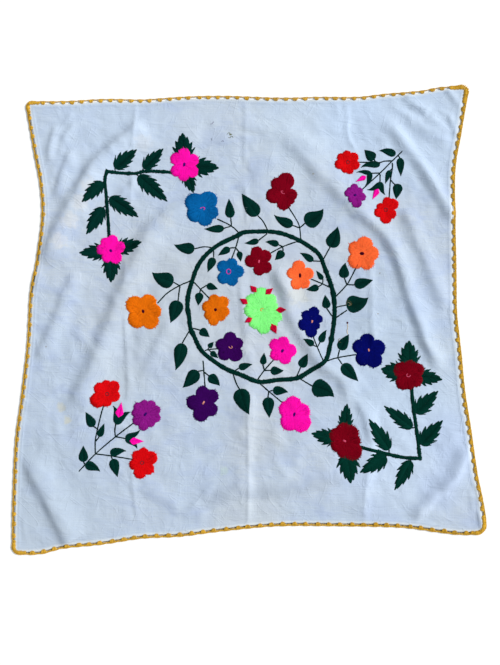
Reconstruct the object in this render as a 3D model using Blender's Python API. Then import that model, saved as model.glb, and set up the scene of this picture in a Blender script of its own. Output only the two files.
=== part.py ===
# Square cotton tablecloth with a crocheted edging, laid flat with low soft folds

import bpy
import numpy as np

MM = 0.001

CLOTH_THICKNESS = 1.2
HEM_WIDTH = 11.0
HEM_CORNER_ROUNDING = 4.5
GRID_CELLS = 48

FOLD_FLOOR = 0.3
FOLD_FOOT = 1.3

EDGING_THICKNESS = 2.0
EDGING_GAP = 0.3
SHELL_HALF_AT_HEM = 3.0
SHELL_HALF_AT_CHAIN = 5.5
CHAIN_INNER = 3.9
CHAIN_OUTER = 7.2
SCALLOP_OUTER = 7.9

# The hem line, in mm from the middle of the cloth: (across, up), each row a point of one side
TOP_SIDE = [
    (-506, 482), (-420, 482), (-330, 487), (-240, 486), (-140, 493),
    (-40, 494), (70, 490), (160, 492), (250, 492), (310, 499),
    (390, 506), (440, 515), (498, 519),
]
BOTTOM_SIDE = [
    (-505, -518), (-450, -517), (-400, -505), (-320, -497), (-230, -484),
    (-150, -480), (-60, -469), (60, -458), (200, -458), (330, -461),
    (410, -471), (455, -476), (508, -476),
]
LEFT_SIDE = [
    (-505, -518), (-507, -400), (-505, -280), (-496, -190), (-486, -70),
    (-483, 40), (-471, 120), (-462, 220), (-469, 300), (-484, 370),
    (-506, 482),
]
RIGHT_SIDE = [
    (508, -476), (504, -430), (491, -355), (480, -260), (469, -175),
    (463, -90), (456, 0), (457, 90), (458, 200), (461, 324),
    (478, 417), (498, 519),
]

# Shells of the edging along each side
TOP_SHELLS = 45
BOTTOM_SHELLS = 41
LEFT_SHELLS = 44
RIGHT_SHELLS = 49

# Soft folds, in mm: (height, reach on the steep side, reach on the long side,
# fade at the start, fade at the end, [(across, up) along the crest])
FOLDS = [
    (8.0, 20, 32, 160, 120, [
        (-140, 480), (-225, 425), (-320, 335), (-400, 225), (-450, 140), (-500, 40)]),
    (4.0, 17, 28, 90, 80, [
        (-375, 50), (-435, -55), (-485, -140)]),
    (10.0, 20, 34, 150, 150, [
        (-105, 255), (-190, 200), (-265, 90), (-300, -15), (-345, -125), (-420, -255)]),
    (3.5, 15, 24, 80, 100, [
        (-195, 15), (-230, -85), (-260, -190)]),
    (8.5, 19, 36, 190, 200, [
        (-60, 468), (50, 415), (160, 330), (230, 245), (265, 150), (280, 30), (285, -115)]),
    (10.5, 20, 30, 140, 140, [
        (295, 325), (335, 195), (370, 80), (405, -60), (415, -245)]),
    (6.5, 17, 26, 100, 110, [
        (360, 290), (410, 150), (452, 10)]),
    (8.5, 19, 32, 120, 70, [
        (255, 475), (370, 365), (430, 265), (480, 155)]),
    (9.0, 20, 36, 160, 140, [
        (-95, 250), (-30, 210), (45, 120), (115, 20), (180, -85), (250, -180), (355, -300)]),
    (9.0, 20, 36, 90, 20, [
        (-490, -270), (-460, -340), (-415, -420), (-365, -525)]),
    (8.0, 28, 18, 40, 70, [
        (525, -285), (470, -355), (420, -410), (375, -470)]),
    (3.5, 24, 26, 100, 100, [
        (45, -370), (155, -340), (275, -270)]),
    (3.5, 24, 20, 70, 80, [
        (-290, -365), (-215, -390), (-105, -430)]),
    (3.5, 20, 26, 90, 120, [
        (-10, -30), (0, -170), (-10, -345)]),
    (3.0, 18, 22, 60, 70, [
        (-80, -70), (-100, -150), (-125, -245)]),
    (3.5, 20, 30, 90, 80, [
        (220, 470), (300, 415), (360, 345)]),
    (3.5, 18, 26, 60, 70, [
        (-465, 470), (-450, 410), (-462, 325)]),
]


def smooth_line(points, count):
    """Even points along a smooth curve through the given points."""
    p = np.asarray(points, dtype=float)
    ends = np.vstack([2 * p[0] - p[1], p, 2 * p[-1] - p[-2]])
    dense = []
    for a, b, c, d in zip(ends, ends[1:], ends[2:], ends[3:]):
        t = np.linspace(0.0, 1.0, 40, endpoint=False)[:, None]
        dense.append(
            0.5 * (2 * b + (c - a) * t + (2 * a - 5 * b + 4 * c - d) * t**2
                   + (3 * b - a - 3 * c + d) * t**3)
        )
    dense = np.vstack(dense + [p[-1:]])
    run = np.r_[0.0, np.cumsum(np.linalg.norm(np.diff(dense, axis=0), axis=1))]
    at = np.linspace(0.0, run[-1], count)
    return np.column_stack([np.interp(at, run, dense[:, k]) for k in range(2)])


def ease(x):
    x = np.clip(x, 0.0, 1.0)
    return x * x * (3.0 - 2.0 * x)


def fold_height(xy):
    """Height of the cloth's underside over the surface, in mm."""
    total = np.zeros(len(xy))
    for height, steep, long, fade_in, fade_out, crest in FOLDS:
        line = smooth_line(crest, 28)
        step = np.diff(line, axis=0)
        length = np.linalg.norm(step, axis=1)
        offset = xy[:, None, :] - line[None, :-1, :]
        share = np.clip((offset * step).sum(axis=2) / length**2, 0.0, 1.0)
        offset = offset - share[:, :, None] * step
        gap = np.linalg.norm(offset, axis=2)
        near = gap.argmin(axis=1)
        row = np.arange(len(xy))
        away = gap[row, near]
        side = step[near, 0] * offset[row, near, 1] - step[near, 1] * offset[row, near, 0]
        reach = np.where(side > 0, long, steep)
        along = np.r_[0.0, np.cumsum(length)][near] + share[row, near] * length[near]
        ends = ease(along / fade_in) * ease((length.sum() - along) / fade_out)
        total += height * ends * np.exp(-0.5 * (away / reach) ** 2)
    raised = np.maximum(total - FOLD_FLOOR, 0.0)
    return raised**2 / (raised + FOLD_FOOT)


def pull_in_corner(line, end, inward):
    line[end] += np.asarray(inward) * HEM_CORNER_ROUNDING / np.sqrt(2.0)


def hem_sides():
    """The four sides of the hem line, one point at each end of a shell's stretch."""
    top = smooth_line(TOP_SIDE, TOP_SHELLS + 1)
    bottom = smooth_line(BOTTOM_SIDE, BOTTOM_SHELLS + 1)
    left = smooth_line(LEFT_SIDE, LEFT_SHELLS + 1)
    right = smooth_line(RIGHT_SIDE, RIGHT_SHELLS + 1)
    corners = [
        (left, 0, bottom, 0, (1, 1)),
        (bottom, -1, right, 0, (-1, 1)),
        (right, -1, top, -1, (-1, -1)),
        (left, -1, top, 0, (1, -1)),
    ]
    for one, one_end, other, other_end, inward in corners:
        pull_in_corner(one, one_end, inward)
        pull_in_corner(other, other_end, inward)
    return bottom, right, top[::-1], left[::-1]


def sheet_points(cells):
    """Grid points of the cloth inside its hem, drawn between the four side lines."""
    fine = 400
    top = smooth_line(TOP_SIDE, fine)
    bottom = smooth_line(BOTTOM_SIDE, fine)
    left = smooth_line(LEFT_SIDE, fine)
    right = smooth_line(RIGHT_SIDE, fine)
    inset = HEM_WIDTH / 1000.0
    at = np.linspace(inset, 1.0 - inset, cells + 1)
    own = np.linspace(0.0, 1.0, fine)

    def on(line, t):
        return np.column_stack([np.interp(t, own, line[:, k]) for k in range(2)])

    u, v = [g.ravel()[:, None] for g in np.meshgrid(at, at)]
    ruled_up = (1 - v) * on(bottom, u[:, 0]) + v * on(top, u[:, 0])
    ruled_across = (1 - u) * on(left, v[:, 0]) + u * on(right, v[:, 0])
    flat = (
        (1 - u) * (1 - v) * bottom[0] + u * (1 - v) * bottom[-1]
        + (1 - u) * v * top[0] + u * v * top[-1]
    )
    return ruled_up + ruled_across - flat


def grid_triangles(points, height, cells):
    """Two triangles a cell, split along the more level diagonal."""
    faces = []
    for row in range(cells):
        for col in range(cells):
            a = row * (cells + 1) + col
            b, d = a + 1, a + cells + 1
            c = d + 1
            if abs(height[a] - height[c]) <= abs(height[b] - height[d]):
                faces += [(a, b, c), (a, c, d)]
            else:
                faces += [(a, b, d), (b, c, d)]
    return faces


def strip_triangles(inner, outer):
    """Triangles that join two lines of point numbers, the outer one to the right of the inner."""
    faces = []
    i = j = 0
    while i < len(inner) - 1 or j < len(outer) - 1:
        next_inner = (i + 1) / (len(inner) - 1)
        next_outer = (j + 1) / (len(outer) - 1)
        if next_outer <= next_inner:
            faces.append((inner[i], outer[j], outer[j + 1]))
            j += 1
        else:
            faces.append((inner[i], outer[j], inner[i + 1]))
            i += 1
    return faces


def slab(name, xy, low, faces, rims, thickness, colour, roughness):
    """A closed sheet: the given triangles above and below, with walls along the rims."""
    count = len(xy)
    lower = np.column_stack([xy, low])
    upper = np.column_stack([xy, np.asarray(low) + thickness])
    walls = []
    for rim in rims:
        for a, b in zip(rim, rim[1:] + rim[:1]):
            walls += [(a, b, b + count), (a, b + count, a + count)]
    under = [tuple(reversed(face)) for face in faces]
    over = [tuple(i + count for i in face) for face in faces]
    mesh = bpy.data.meshes.new(name)
    mesh.from_pydata((np.vstack([lower, upper]) * MM).tolist(), [], under + over + walls)
    material = bpy.data.materials.new(name)
    material.use_nodes = True
    shader = material.node_tree.nodes["Principled BSDF"]
    shader.inputs["Base Color"].default_value = (*colour, 1.0)
    shader.inputs["Roughness"].default_value = roughness
    shader.inputs["Metallic"].default_value = 0.0
    mesh.materials.append(material)
    body = bpy.data.objects.new(name, mesh)
    bpy.context.collection.objects.link(body)
    return body


def build_cloth(sides):
    """The cloth with its hem as one thin sheet on its folds."""
    grid = sheet_points(GRID_CELLS)
    row = GRID_CELLS + 1
    rim = np.vstack([side[:-1] for side in sides])
    xy = np.vstack([grid, rim])
    low = fold_height(xy)
    faces = grid_triangles(grid, low, GRID_CELLS)
    inner_sides = [
        list(range(0, row)),
        list(range(row - 1, row * row, row)),
        list(range(row * row - 1, row * row - row - 1, -1)),
        list(range(row * row - row, -1, -row)),
    ]
    rim_numbers = list(range(len(grid), len(xy)))
    start = 0
    for inner, side in zip(inner_sides, sides):
        stretch = len(side) - 1
        outer = [rim_numbers[(start + k) % len(rim)] for k in range(stretch + 1)]
        faces += strip_triangles(inner, outer)
        start += stretch
    faces = [face if turns_left(xy, face) else face[::-1] for face in faces]
    return slab("ground_cloth", xy, low, faces, [rim_numbers],
                CLOTH_THICKNESS, (0.50, 0.60, 0.72), 0.9)


def turns_left(xy, face):
    a, b, c = (xy[i] for i in face)
    return (b[0] - a[0]) * (c[1] - a[1]) - (b[1] - a[1]) * (c[0] - a[0]) > 0


def build_edging(sides):
    """One round of crochet: an outer chain with a shell reaching in at the middle of each stretch."""
    rim = np.vstack([side[:-1] for side in sides])
    corner = set(np.cumsum([0] + [len(side) - 1 for side in sides[:-1]]).tolist())
    rim_low = fold_height(rim)
    total = len(rim)
    along = np.roll(rim, -1, axis=0) - rim
    along /= np.linalg.norm(along, axis=1)[:, None]
    out = np.column_stack([along[:, 1], -along[:, 0]])
    xy, low, faces, slits, outer = [], [], [], [], []

    def add(place, height):
        xy.append(place)
        low.append(height)
        return len(xy) - 1

    mitre = []
    for k in range(total):
        both = out[k - 1] + out[k]
        mitre.append(both / (1.0 + out[k - 1] @ out[k]))
    chain = []
    for k in range(total):
        height = rim_low[k]
        if k in corner:
            inner = add(rim[k] + mitre[k] * EDGING_GAP, height)
            turn = [
                add(rim[k] + out[k - 1] * CHAIN_OUTER, height),
                add(rim[k] + mitre[k] * CHAIN_OUTER * 0.86, height),
                add(rim[k] + out[k] * CHAIN_OUTER, height),
            ]
        else:
            inner = add(rim[k] + mitre[k] * CHAIN_INNER, height)
            turn = [add(rim[k] + mitre[k] * CHAIN_OUTER, height)]
        chain.append((inner, turn))
    shells = []
    for k in range(total):
        after = (k + 1) % total
        middle = 0.5 * (rim[k] + rim[after])
        length = np.linalg.norm(rim[after] - rim[k])

        def spot(step, away):
            share = 0.5 + step / length
            height = (1 - share) * rim_low[k] + share * rim_low[after]
            return add(middle + along[k] * step + out[k] * away, height)

        hem = [spot(s * SHELL_HALF_AT_HEM, EDGING_GAP) for s in (-1, 1)]
        base = [spot(s * SHELL_HALF_AT_CHAIN, CHAIN_INNER) for s in (-1, 1)]
        crown = spot(0.0, SCALLOP_OUTER)
        shells.append((hem, base, crown))
    for k in range(total):
        after = (k + 1) % total
        (start, start_turn), (end, end_turn) = chain[k], chain[after]
        hem, base, crown = shells[k]
        faces += [(hem[0], crown, hem[1]), (base[0], crown, hem[0]), (hem[1], crown, base[1])]
        first = hem[0] if k in corner else base[0]
        last = hem[1] if after in corner else base[1]
        if k in corner:
            faces.append((base[0], hem[0], start))
        if after in corner:
            faces.append((base[1], end, hem[1]))
        faces += [(start, start_turn[-1], base[0]), (start_turn[-1], crown, base[0])]
        faces += [(base[1], crown, end_turn[0]), (base[1], end_turn[0], end)]
        if k in corner:
            a, b, c = start_turn
            faces += [(start, a, b), (start, b, c)]
        slits += [first, hem[0], hem[1], last]
        slits.append(end)
        outer += start_turn + [crown]
    inside = []
    for number in slits:
        if not inside or inside[-1] != number:
            inside.append(number)
    xy = np.array(xy)
    faces = [face if turns_left(xy, face) else face[::-1] for face in faces]
    return slab("crochet_edging", xy, np.array(low), faces, [outer, inside[::-1]],
                EDGING_THICKNESS, (0.72, 0.35, 0.02), 0.85)


for old in list(bpy.data.objects):
    bpy.data.objects.remove(old, do_unlink=True)

hem = hem_sides()
build_cloth(hem)
build_edging(hem)
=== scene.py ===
# %% [markdown]
# # An embroidered tablecloth, laid flat
# The real object is a square of white cotton, about a metre each way, with a narrow hem. Flowers, leaves
# and stems are filled in with yarn by hand, and a round of golden crochet is worked into the hem. It has
# been folded away and spread out again, so it lies with low soft folds, old fold lines and small crumples.
#
# The lesson builds it in the order in which it is made: cloth first, then the edging, then the stitches.
# The plain solids of the part come in as a fixed frame, which gives every piece its place and size.

# %% Load the frame
import math

import bpy
import numpy as np
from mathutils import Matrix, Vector, noise


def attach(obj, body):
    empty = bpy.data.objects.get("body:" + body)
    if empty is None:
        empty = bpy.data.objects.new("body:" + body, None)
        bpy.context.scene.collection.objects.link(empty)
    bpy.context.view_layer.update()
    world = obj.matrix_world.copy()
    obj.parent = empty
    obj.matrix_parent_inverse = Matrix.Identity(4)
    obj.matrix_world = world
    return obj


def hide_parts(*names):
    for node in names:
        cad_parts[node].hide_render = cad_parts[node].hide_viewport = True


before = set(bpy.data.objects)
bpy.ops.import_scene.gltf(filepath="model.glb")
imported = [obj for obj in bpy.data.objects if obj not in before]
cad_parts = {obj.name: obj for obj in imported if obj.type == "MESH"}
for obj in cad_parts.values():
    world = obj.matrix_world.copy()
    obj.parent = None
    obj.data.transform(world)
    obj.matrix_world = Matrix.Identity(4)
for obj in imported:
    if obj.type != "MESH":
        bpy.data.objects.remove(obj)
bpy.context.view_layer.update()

MM = 0.001
# One seeded source of chance, so that each run gives the same cloth.
rng = np.random.default_rng(11)


def add_object(name, data):
    """A new object in the scene that holds a mesh, a lamp or a camera."""
    made = bpy.data.objects.new(name, data)
    bpy.context.scene.collection.objects.link(made)
    return made


# %% [markdown]
# ## Camera
# The cloth was looked at from nearly straight above, from a little over a metre away, leaning back by a few
# degrees. A camera could be turned by hand until the picture fits. Placing it by its distance and lean is
# easier to repeat, and pointing it with `to_track_quat` keeps the top of the cloth at the top of the
# picture.

# %% Camera above the cloth
LOOK_AT = Vector((0.0025, -0.044, 0.0))
CAMERA_DISTANCE = 1.150
CAMERA_LEAN = math.radians(4.0)

camera_data = bpy.data.cameras.new("camera")
camera_data.lens = 28.0
camera_data.sensor_width = 36.0
camera = add_object("camera", camera_data)
back = Vector((0.0, -math.sin(CAMERA_LEAN), math.cos(CAMERA_LEAN)))
camera.location = LOOK_AT + back * CAMERA_DISTANCE
camera.rotation_mode = "QUATERNION"
camera.rotation_quaternion = (-back).to_track_quat("-Z", "Y")
bpy.context.scene.camera = camera
print("camera at", [round(v, 3) for v in camera.location])

# %% [markdown]
# ## Floor and light
# Low folds only show when light comes from one side. One wide sun from the right, not far above the cloth,
# draws them softly, and a pale bluish sky fills the shadows. Lamps with hard edges would draw each crumple
# like a scratch. The Standard view keeps the bright yarns as bright as they are; a film-like view would
# make them grey.

# %% Pale floor
FLOOR_HALF = 4.0
FLOOR_DROP = 0.4
square = [(-1, -1), (1, -1), (1, 1), (-1, 1)]
corners = [(x * FLOOR_HALF, y * FLOOR_HALF, -FLOOR_DROP * MM) for x, y in square]
floor_mesh = bpy.data.meshes.new("floor")
floor_mesh.from_pydata(corners, [], [(0, 1, 2, 3)])
floor = add_object("floor", floor_mesh)
paper = bpy.data.materials.new("pale_floor")
paper.use_nodes = True
paper_shader = paper.node_tree.nodes["Principled BSDF"]
paper_shader.inputs["Base Color"].default_value = (0.93, 0.93, 0.93, 1.0)
paper_shader.inputs["Roughness"].default_value = 0.9
floor_mesh.materials.append(paper)

# %% Soft light from the right
LIGHT_FROM = Vector((0.80, 0.25, 0.54))
SUN_STRENGTH = 4.05
SKY_STRENGTH = 0.48
sun_data = bpy.data.lights.new("soft_sun", "SUN")
sun_data.energy = SUN_STRENGTH
sun_data.angle = math.radians(22.0)
sun_data.color = (1.0, 0.985, 0.96)
sun = add_object("soft_sun", sun_data)
sun.rotation_mode = "QUATERNION"
sun.rotation_quaternion = LIGHT_FROM.to_track_quat("Z", "Y")

sky = bpy.data.worlds.new("pale_sky")
sky.use_nodes = True
background = sky.node_tree.nodes["Background"]
background.inputs["Color"].default_value = (0.90, 0.96, 1.0, 1.0)
background.inputs["Strength"].default_value = SKY_STRENGTH
bpy.context.scene.world = sky
bpy.context.scene.view_settings.view_transform = "Standard"
print("sun", SUN_STRENGTH, "sky", SKY_STRENGTH)

# %% [markdown]
# ## How the cloth lies
# Yarn and crochet pull the sides in, so the laid square has drawn-out corners and hollow sides. The folds
# are low: the tallest stands a finger's thickness off the table. Each has one steep side and one long
# gentle side.
#
# A cloth simulation would give folds of its own, in other places. Here the places matter, because every
# stitch lies on them. So the outline and the folds are short tables in millimetres, the same as in the
# part, and a height is worked out for each point of the cloth.

# %% Outline of the cloth and smooth lines through points
# Each row of a side is a point (across, up) in mm from the middle of the cloth.
TOP_SIDE = [
    (-506, 482), (-420, 482), (-330, 487), (-240, 486), (-140, 493), (-40, 494), (70, 490), (160, 492),
    (250, 492), (310, 499), (390, 506), (440, 515), (498, 519),
]
BOTTOM_SIDE = [
    (-505, -518), (-450, -517), (-400, -505), (-320, -497), (-230, -484), (-150, -480), (-60, -469),
    (60, -458), (200, -458), (330, -461), (410, -471), (455, -476), (508, -476),
]
LEFT_SIDE = [
    (-505, -518), (-507, -400), (-505, -280), (-496, -190), (-486, -70), (-483, 40), (-471, 120),
    (-462, 220), (-469, 300), (-484, 370), (-506, 482),
]
RIGHT_SIDE = [
    (508, -476), (504, -430), (491, -355), (480, -260), (469, -175), (463, -90), (456, 0), (457, 90),
    (458, 200), (461, 324), (478, 417), (498, 519),
]


SPAN_POINTS = 40


def lengths(vectors):
    return np.linalg.norm(vectors, axis=1)


def unit(vectors):
    """Vectors of the same directions, each 1 long."""
    return vectors / lengths(vectors)[:, None]


def left_of(vectors):
    """Vectors turned a quarter to the left."""
    return np.column_stack([-vectors[:, 1], vectors[:, 0]])


def towards(angles):
    """Unit vectors at the given angles."""
    return np.column_stack([np.cos(angles), np.sin(angles)])


def walk(at, run, points):
    """Places at the given distances along a line of points; run is the distance of each point."""
    return np.column_stack([np.interp(at, run, points[:, k]) for k in range(2)])


def smooth_line(points, count):
    """Even points along a smooth curve through the given points."""
    p = np.asarray(points, dtype=float)
    ends = np.vstack([2 * p[0] - p[1], p, 2 * p[-1] - p[-2]])
    dense = []
    for a, b, c, d in zip(ends, ends[1:], ends[2:], ends[3:]):
        t = np.linspace(0.0, 1.0, SPAN_POINTS, endpoint=False)[:, None]
        bend = 2 * a - 5 * b + 4 * c - d
        twist = 3 * b - a - 3 * c + d
        dense.append(0.5 * (2 * b + (c - a) * t + bend * t**2 + twist * t**3))
    dense = np.vstack(dense + [p[-1:]])
    run = np.r_[0.0, np.cumsum(lengths(np.diff(dense, axis=0)))]
    return walk(np.linspace(0.0, run[-1], count), run, dense)


def line_length(points):
    return lengths(np.diff(points, axis=0)).sum()


SIDES = (TOP_SIDE, BOTTOM_SIDE, LEFT_SIDE, RIGHT_SIDE)
print("side lengths in mm:", [round(line_length(smooth_line(side, 200))) for side in SIDES])

# %% Table of folds
# Height, reach on the steep side, reach on the long side, fade at the start, fade at the end, crest points.
FOLDS = [
    (11.5, 13.5, 24, 45, 60,
     [(-232, 448), (-268, 410), (-318, 365), (-352, 329), (-374, 291), (-392, 258), (-411, 224),
      (-429, 185), (-447, 136), (-461, 91)]),
    (6.4, 8, 15, 40, 40, [(-387, 384), (-408, 354), (-419, 322), (-429, 288), (-442, 248)]),
    (4.0, 6, 9, 25, 25, [(-438, 440), (-447, 405), (-452, 370), (-454, 333)]),
    (11.0, 15, 24, 90, 80,
     [(-98, 291), (-138, 243), (-180, 221), (-211, 196), (-228, 171), (-243, 141), (-258, 103), (-275, 63),
      (-292, 18), (-308, -27), (-323, -66), (-338, -107), (-357, -152), (-383, -197), (-406, -234)]),
    (6.5, 11, 18, 50, 30,
     [(-376, 109), (-393, 73), (-408, 38), (-422, -3), (-439, -47), (-456, -83), (-466, -113)]),
    (4.4, 9, 16, 40, 40, [(-167, -3), (-187, -41), (-204, -76), (-219, -113), (-238, -157)]),
    (9.8, 14, 29, 120, 45,
     [(41, 435), (89, 393), (121, 365), (149, 336), (175, 306), (202, 278), (227, 250), (250, 226),
      (277, 203)]),
    (3.5, 12, 22, 50, 60, [(292, 86), (286, 28), (285, -39), (282, -106)]),
    (9.4, 8.5, 16, 45, 50,
     [(238, 238), (256, 221), (278, 202), (303, 177), (320, 150), (333, 121), (345, 82), (355, 42),
      (368, 4), (382, -38), (396, -76), (414, -110), (432, -137)]),
    (7.0, 12, 17, 40, 50,
     [(348, 252), (365, 206), (382, 158), (398, 113), (415, 70), (430, 31), (440, -10)]),
    (8.8, 10, 12, 90, 30,
     [(285, 468), (308, 442), (330, 416), (350, 390), (373, 362), (393, 331), (413, 300), (430, 267),
      (446, 237), (459, 199)]),
    (8.2, 11, 22, 60, 60,
     [(38, 120), (63, 85), (82, 43), (91, 0), (107, -33), (129, -68), (150, -103), (175, -125), (205, -147),
      (219, -184), (235, -214)]),
    (3.8, 8, 14, 25, 25, [(238, -190), (253, -225), (264, -261), (263, -293)]),
    (10.5, 12, 26, 60, 8,
     [(-492, -300), (-476, -334), (-458, -368), (-437, -402), (-419, -434), (-403, -466), (-385, -502)]),
    (8.0, 13, 8.5, 40, 30,
     [(480, -278), (472, -309), (456, -345), (434, -375), (407, -396), (387, -417), (366, -440),
      (354, -461)]),
    (4.3, 13, 20, 50, 30,
     [(-244, -368), (-207, -392), (-175, -410), (-143, -425), (-110, -437), (-82, -453)]),
    (3.5, 20, 26, 90, 120, [(-10, -30), (0, -170), (-10, -345)]),
    (3.0, 18, 22, 60, 70, [(-80, -70), (-100, -150), (-125, -245)]),
    (2.5, 20, 30, 90, 80, [(220, 470), (300, 415), (360, 345)]),
]
# Rises under the first value are left flat, and the second one rounds the foot of each fold.
FOLD_FLOOR = 0.3
FOLD_FOOT = 1.3
print(len(FOLDS), "folds, the tallest", max(f[0] for f in FOLDS), "mm")

# %% [markdown]
# Old fold lines are the sharp lines left where the cloth was put away in quarters. They are much narrower
# than the folds and nearly straight, as they follow the weave. Between them lie short wrinkles, most of
# them in the corners, where the crochet pulls. Both are rows of the same kind as the folds, only low and
# narrow.

# %% Table of fold lines and wrinkles
# Height, reach on the steep side, reach on the long side, fade at both ends, points along the crest.
WRINKLES = [
    # left, middle and right fold lines, from top to bottom
    (1.2, 4, 3, 30, [(-259, 488), (-260, 441), (-262, 394), (-266, 366)]),
    (1.0, 3, 4, 30, [(-266, 324), (-267, 266), (-269, 218)]),
    (1.3, 3.5, 6, 30, [(-272, 172), (-278, 123), (-277, 51)]),
    (1.9, 4, 8, 60, [(-274, 28), (-273, -39), (-269, -94), (-266, -160), (-267, -215)]),
    (1.3, 4, 4, 40, [(-259, -333), (-251, -386), (-242, -439), (-235, -470)]),
    (0.9, 4, 5, 40, [(-8, 493), (-8, 418), (-10, 324)]),
    (1.2, 3, 4, 30, [(-9, 300), (-6, 240), (-4, 186)]),
    (2.6, 6, 12, 35, [(-23, 92), (-16, 51), (-12, 6), (-7, -38), (0, -82)]),
    (1.2, 2.5, 3, 40, [(-2, -180), (-2, -247), (-1, -322), (-1, -397), (-3, -471)]),
    (1.9, 3.5, 5, 20, [(221, 491), (225, 446), (224, 413), (233, 389), (248, 368)]),
    (2.2, 8, 22, 30, [(272, -85), (273, -17), (273, 28), (272, 73), (270, 123)]),
    (1.9, 3, 4, 30, [(270, 123), (272, 73), (272, 28), (273, -17), (272, -85)]),
    (0.9, 2.5, 3, 30, [(260, -338), (253, -390), (247, -450)]),
    (2.6, 7, 22, 50, [(-2, -480), (0, -397), (1, -322), (4, -250), (6, -150)]),
    (3.0, 8, 22, 25, [(249, -462), (255, -390), (262, -338), (267, -290), (276, -190)]),
    (0.6, 3, 4, 30, [(-270, -156), (-210, -157), (-142, -152)]),
    # upper left
    (3.2, 11, 18, 45, [(-258, 418), (-318, 367), (-352, 331), (-375, 292), (-393, 258)]),
    (2.0, 4, 6, 12, [(-401, 462), (-414, 446), (-422, 430)]),
    (2.5, 5, 7, 20, [(-398, 444), (-407, 419), (-421, 400), (-428, 385)]),
    (1.7, 7, 10, 25, [(-427, 404), (-429, 364), (-441, 330), (-441, 296)]),
    (1.6, 6, 9, 20, [(-440, 406), (-456, 378), (-460, 350)]),
    (3.0, 6, 9, 20, [(-251, 306), (-282, 276), (-305, 255)]),
    (1.2, 3, 4, 12, [(-275, 378), (-252, 383), (-223, 386)]),
    (3.0, 7, 10, 40, [(-464, 113), (-470, 72), (-478, 27)]),
    # upper right
    (3.6, 4.5, 12, 14, [(352, 500), (380, 478), (412, 453)]),
    (1.4, 8, 6, 12, [(372, 484), (392, 469), (412, 453)]),
    (2.0, 4, 7, 20, [(316, 484), (347, 461), (379, 437)]),
    (4.2, 10, 10, 35, [(352, 457), (384, 430), (412, 413), (444, 391), (468, 372)]),
    (3.4, 5, 7, 12, [(451, 518), (467, 497), (485, 470)]),
    (3.2, 3, 7, 10, [(455, 456), (463, 432), (471, 406)]),
    (3.0, 14, 7, 20, [(402, 460), (434, 433), (466, 405)]),
    (1.4, 3.5, 4, 15, [(195, 491), (202, 466), (210, 440)]),
    (2.2, 14, 16, 60, [(-55, 432), (25, 425), (90, 412), (148, 387), (198, 355)]),
    # lower left
    (1.3, 3.5, 4, 25, [(-408, -36), (-376, -52), (-353, -70), (-335, -97), (-315, -123)]),
    (1.3, 3.5, 4, 25, [(-387, -149), (-413, -169), (-446, -189), (-479, -204), (-496, -213)]),
    (1.0, 3, 4, 14, [(-491, -441), (-486, -475), (-474, -506)]),
    (2.0, 9, 12, 30, [(3, -367), (-31, -385), (-65, -415)]),
    (2.2, 4.5, 5, 25, [(-137, -440), (-103, -404), (-68, -370)]),
    (1.4, 4, 5, 20, [(-104, -350), (-78, -325), (-58, -302)]),
    (5.6, 11, 24, 60,
     [(-112, -418), (-60, -400), (-4, -384), (66, -382), (133, -369), (196, -354), (236, -340)]),
    (2.0, 4, 6, 15, [(50, -318), (70, -343), (90, -368)]),
    (1.9, 6, 9, 20, [(108, -280), (106, -315), (104, -350)]),
    (1.9, 7, 9, 20, [(62, -235), (60, -265), (55, -295)]),
    # lower right
    (0.9, 3, 4, 20, [(416, -142), (438, -160), (459, -184)]),
    (2.0, 6, 8, 25, [(471, -266), (438, -281), (405, -301)]),
    (2.4, 8, 6, 22, [(488, -348), (464, -358), (438, -374), (412, -392)]),
    (2.0, 3.5, 5, 14, [(491, -369), (499, -399), (503, -431)]),
    (1.7, 3.5, 5, 12, [(478, -378), (484, -407), (485, -437)]),
    (1.8, 3.5, 5, 12, [(495, -428), (502, -452), (505, -478)]),
    # inside the ring
    (2.4, 6, 9, 25, [(57, 103), (72, 69), (96, 39), (117, 27)]),
    (1.9, 5, 8, 25, [(-112, -38), (-103, -82), (-90, -117)]),
    (2.0, 6, 10, 30, [(26, -71), (35, -115), (48, -147)]),
]
print(len(WRINKLES), "fold lines and wrinkles")

# %% [markdown]
# One function measures how far each point of the cloth is from each line and adds up the rises. To look
# heights up quickly for a hundred thousand stitch points later, they are worked out once on a fine square
# map.

# %% Rise along a line
CREST_POINTS = 28


def ease(x):
    """Change from 0 to 1 that starts and ends gently."""
    x = np.clip(x, 0.0, 1.0)
    return x * x * (3.0 - 2.0 * x)


def rise_along(xy, height, steep, long, fade_in, fade_out, crest):
    """Height that one fold or crease adds at each point."""
    line = smooth_line(crest, CREST_POINTS)
    step = np.diff(line, axis=0)
    length = lengths(step)
    rise = np.zeros(len(xy))
    # Further away than this a fold adds nothing worth counting.
    span = 5.0 * max(steep, long)
    close = np.flatnonzero(
        (xy[:, 0] > line[:, 0].min() - span) & (xy[:, 0] < line[:, 0].max() + span)
        & (xy[:, 1] > line[:, 1].min() - span) & (xy[:, 1] < line[:, 1].max() + span)
    )
    offset = xy[close, None, :] - line[None, :-1, :]
    share = np.clip((offset * step).sum(axis=2) / length**2, 0.0, 1.0)
    offset = offset - share[:, :, None] * step
    gap = np.linalg.norm(offset, axis=2)
    near = gap.argmin(axis=1)
    row = np.arange(len(close))
    away = gap[row, near]
    side = step[near, 0] * offset[row, near, 1] - step[near, 1] * offset[row, near, 0]
    reach = np.where(side > 0, long, steep)
    along = np.r_[0.0, np.cumsum(length)][near] + share[row, near] * length[near]
    ends = ease(along / fade_in) * ease((length.sum() - along) / fade_out)
    rise[close] = height * ends * np.exp(-0.5 * (away / reach) ** 2)
    return rise


# %% Height map of the underside
MAP_STEP = 2.0
map_x = np.arange(-540.0, 541.0, MAP_STEP)
map_y = np.arange(-560.0, 561.0, MAP_STEP)
map_points = np.stack(np.meshgrid(map_x, map_y), axis=-1).reshape(-1, 2)

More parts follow.
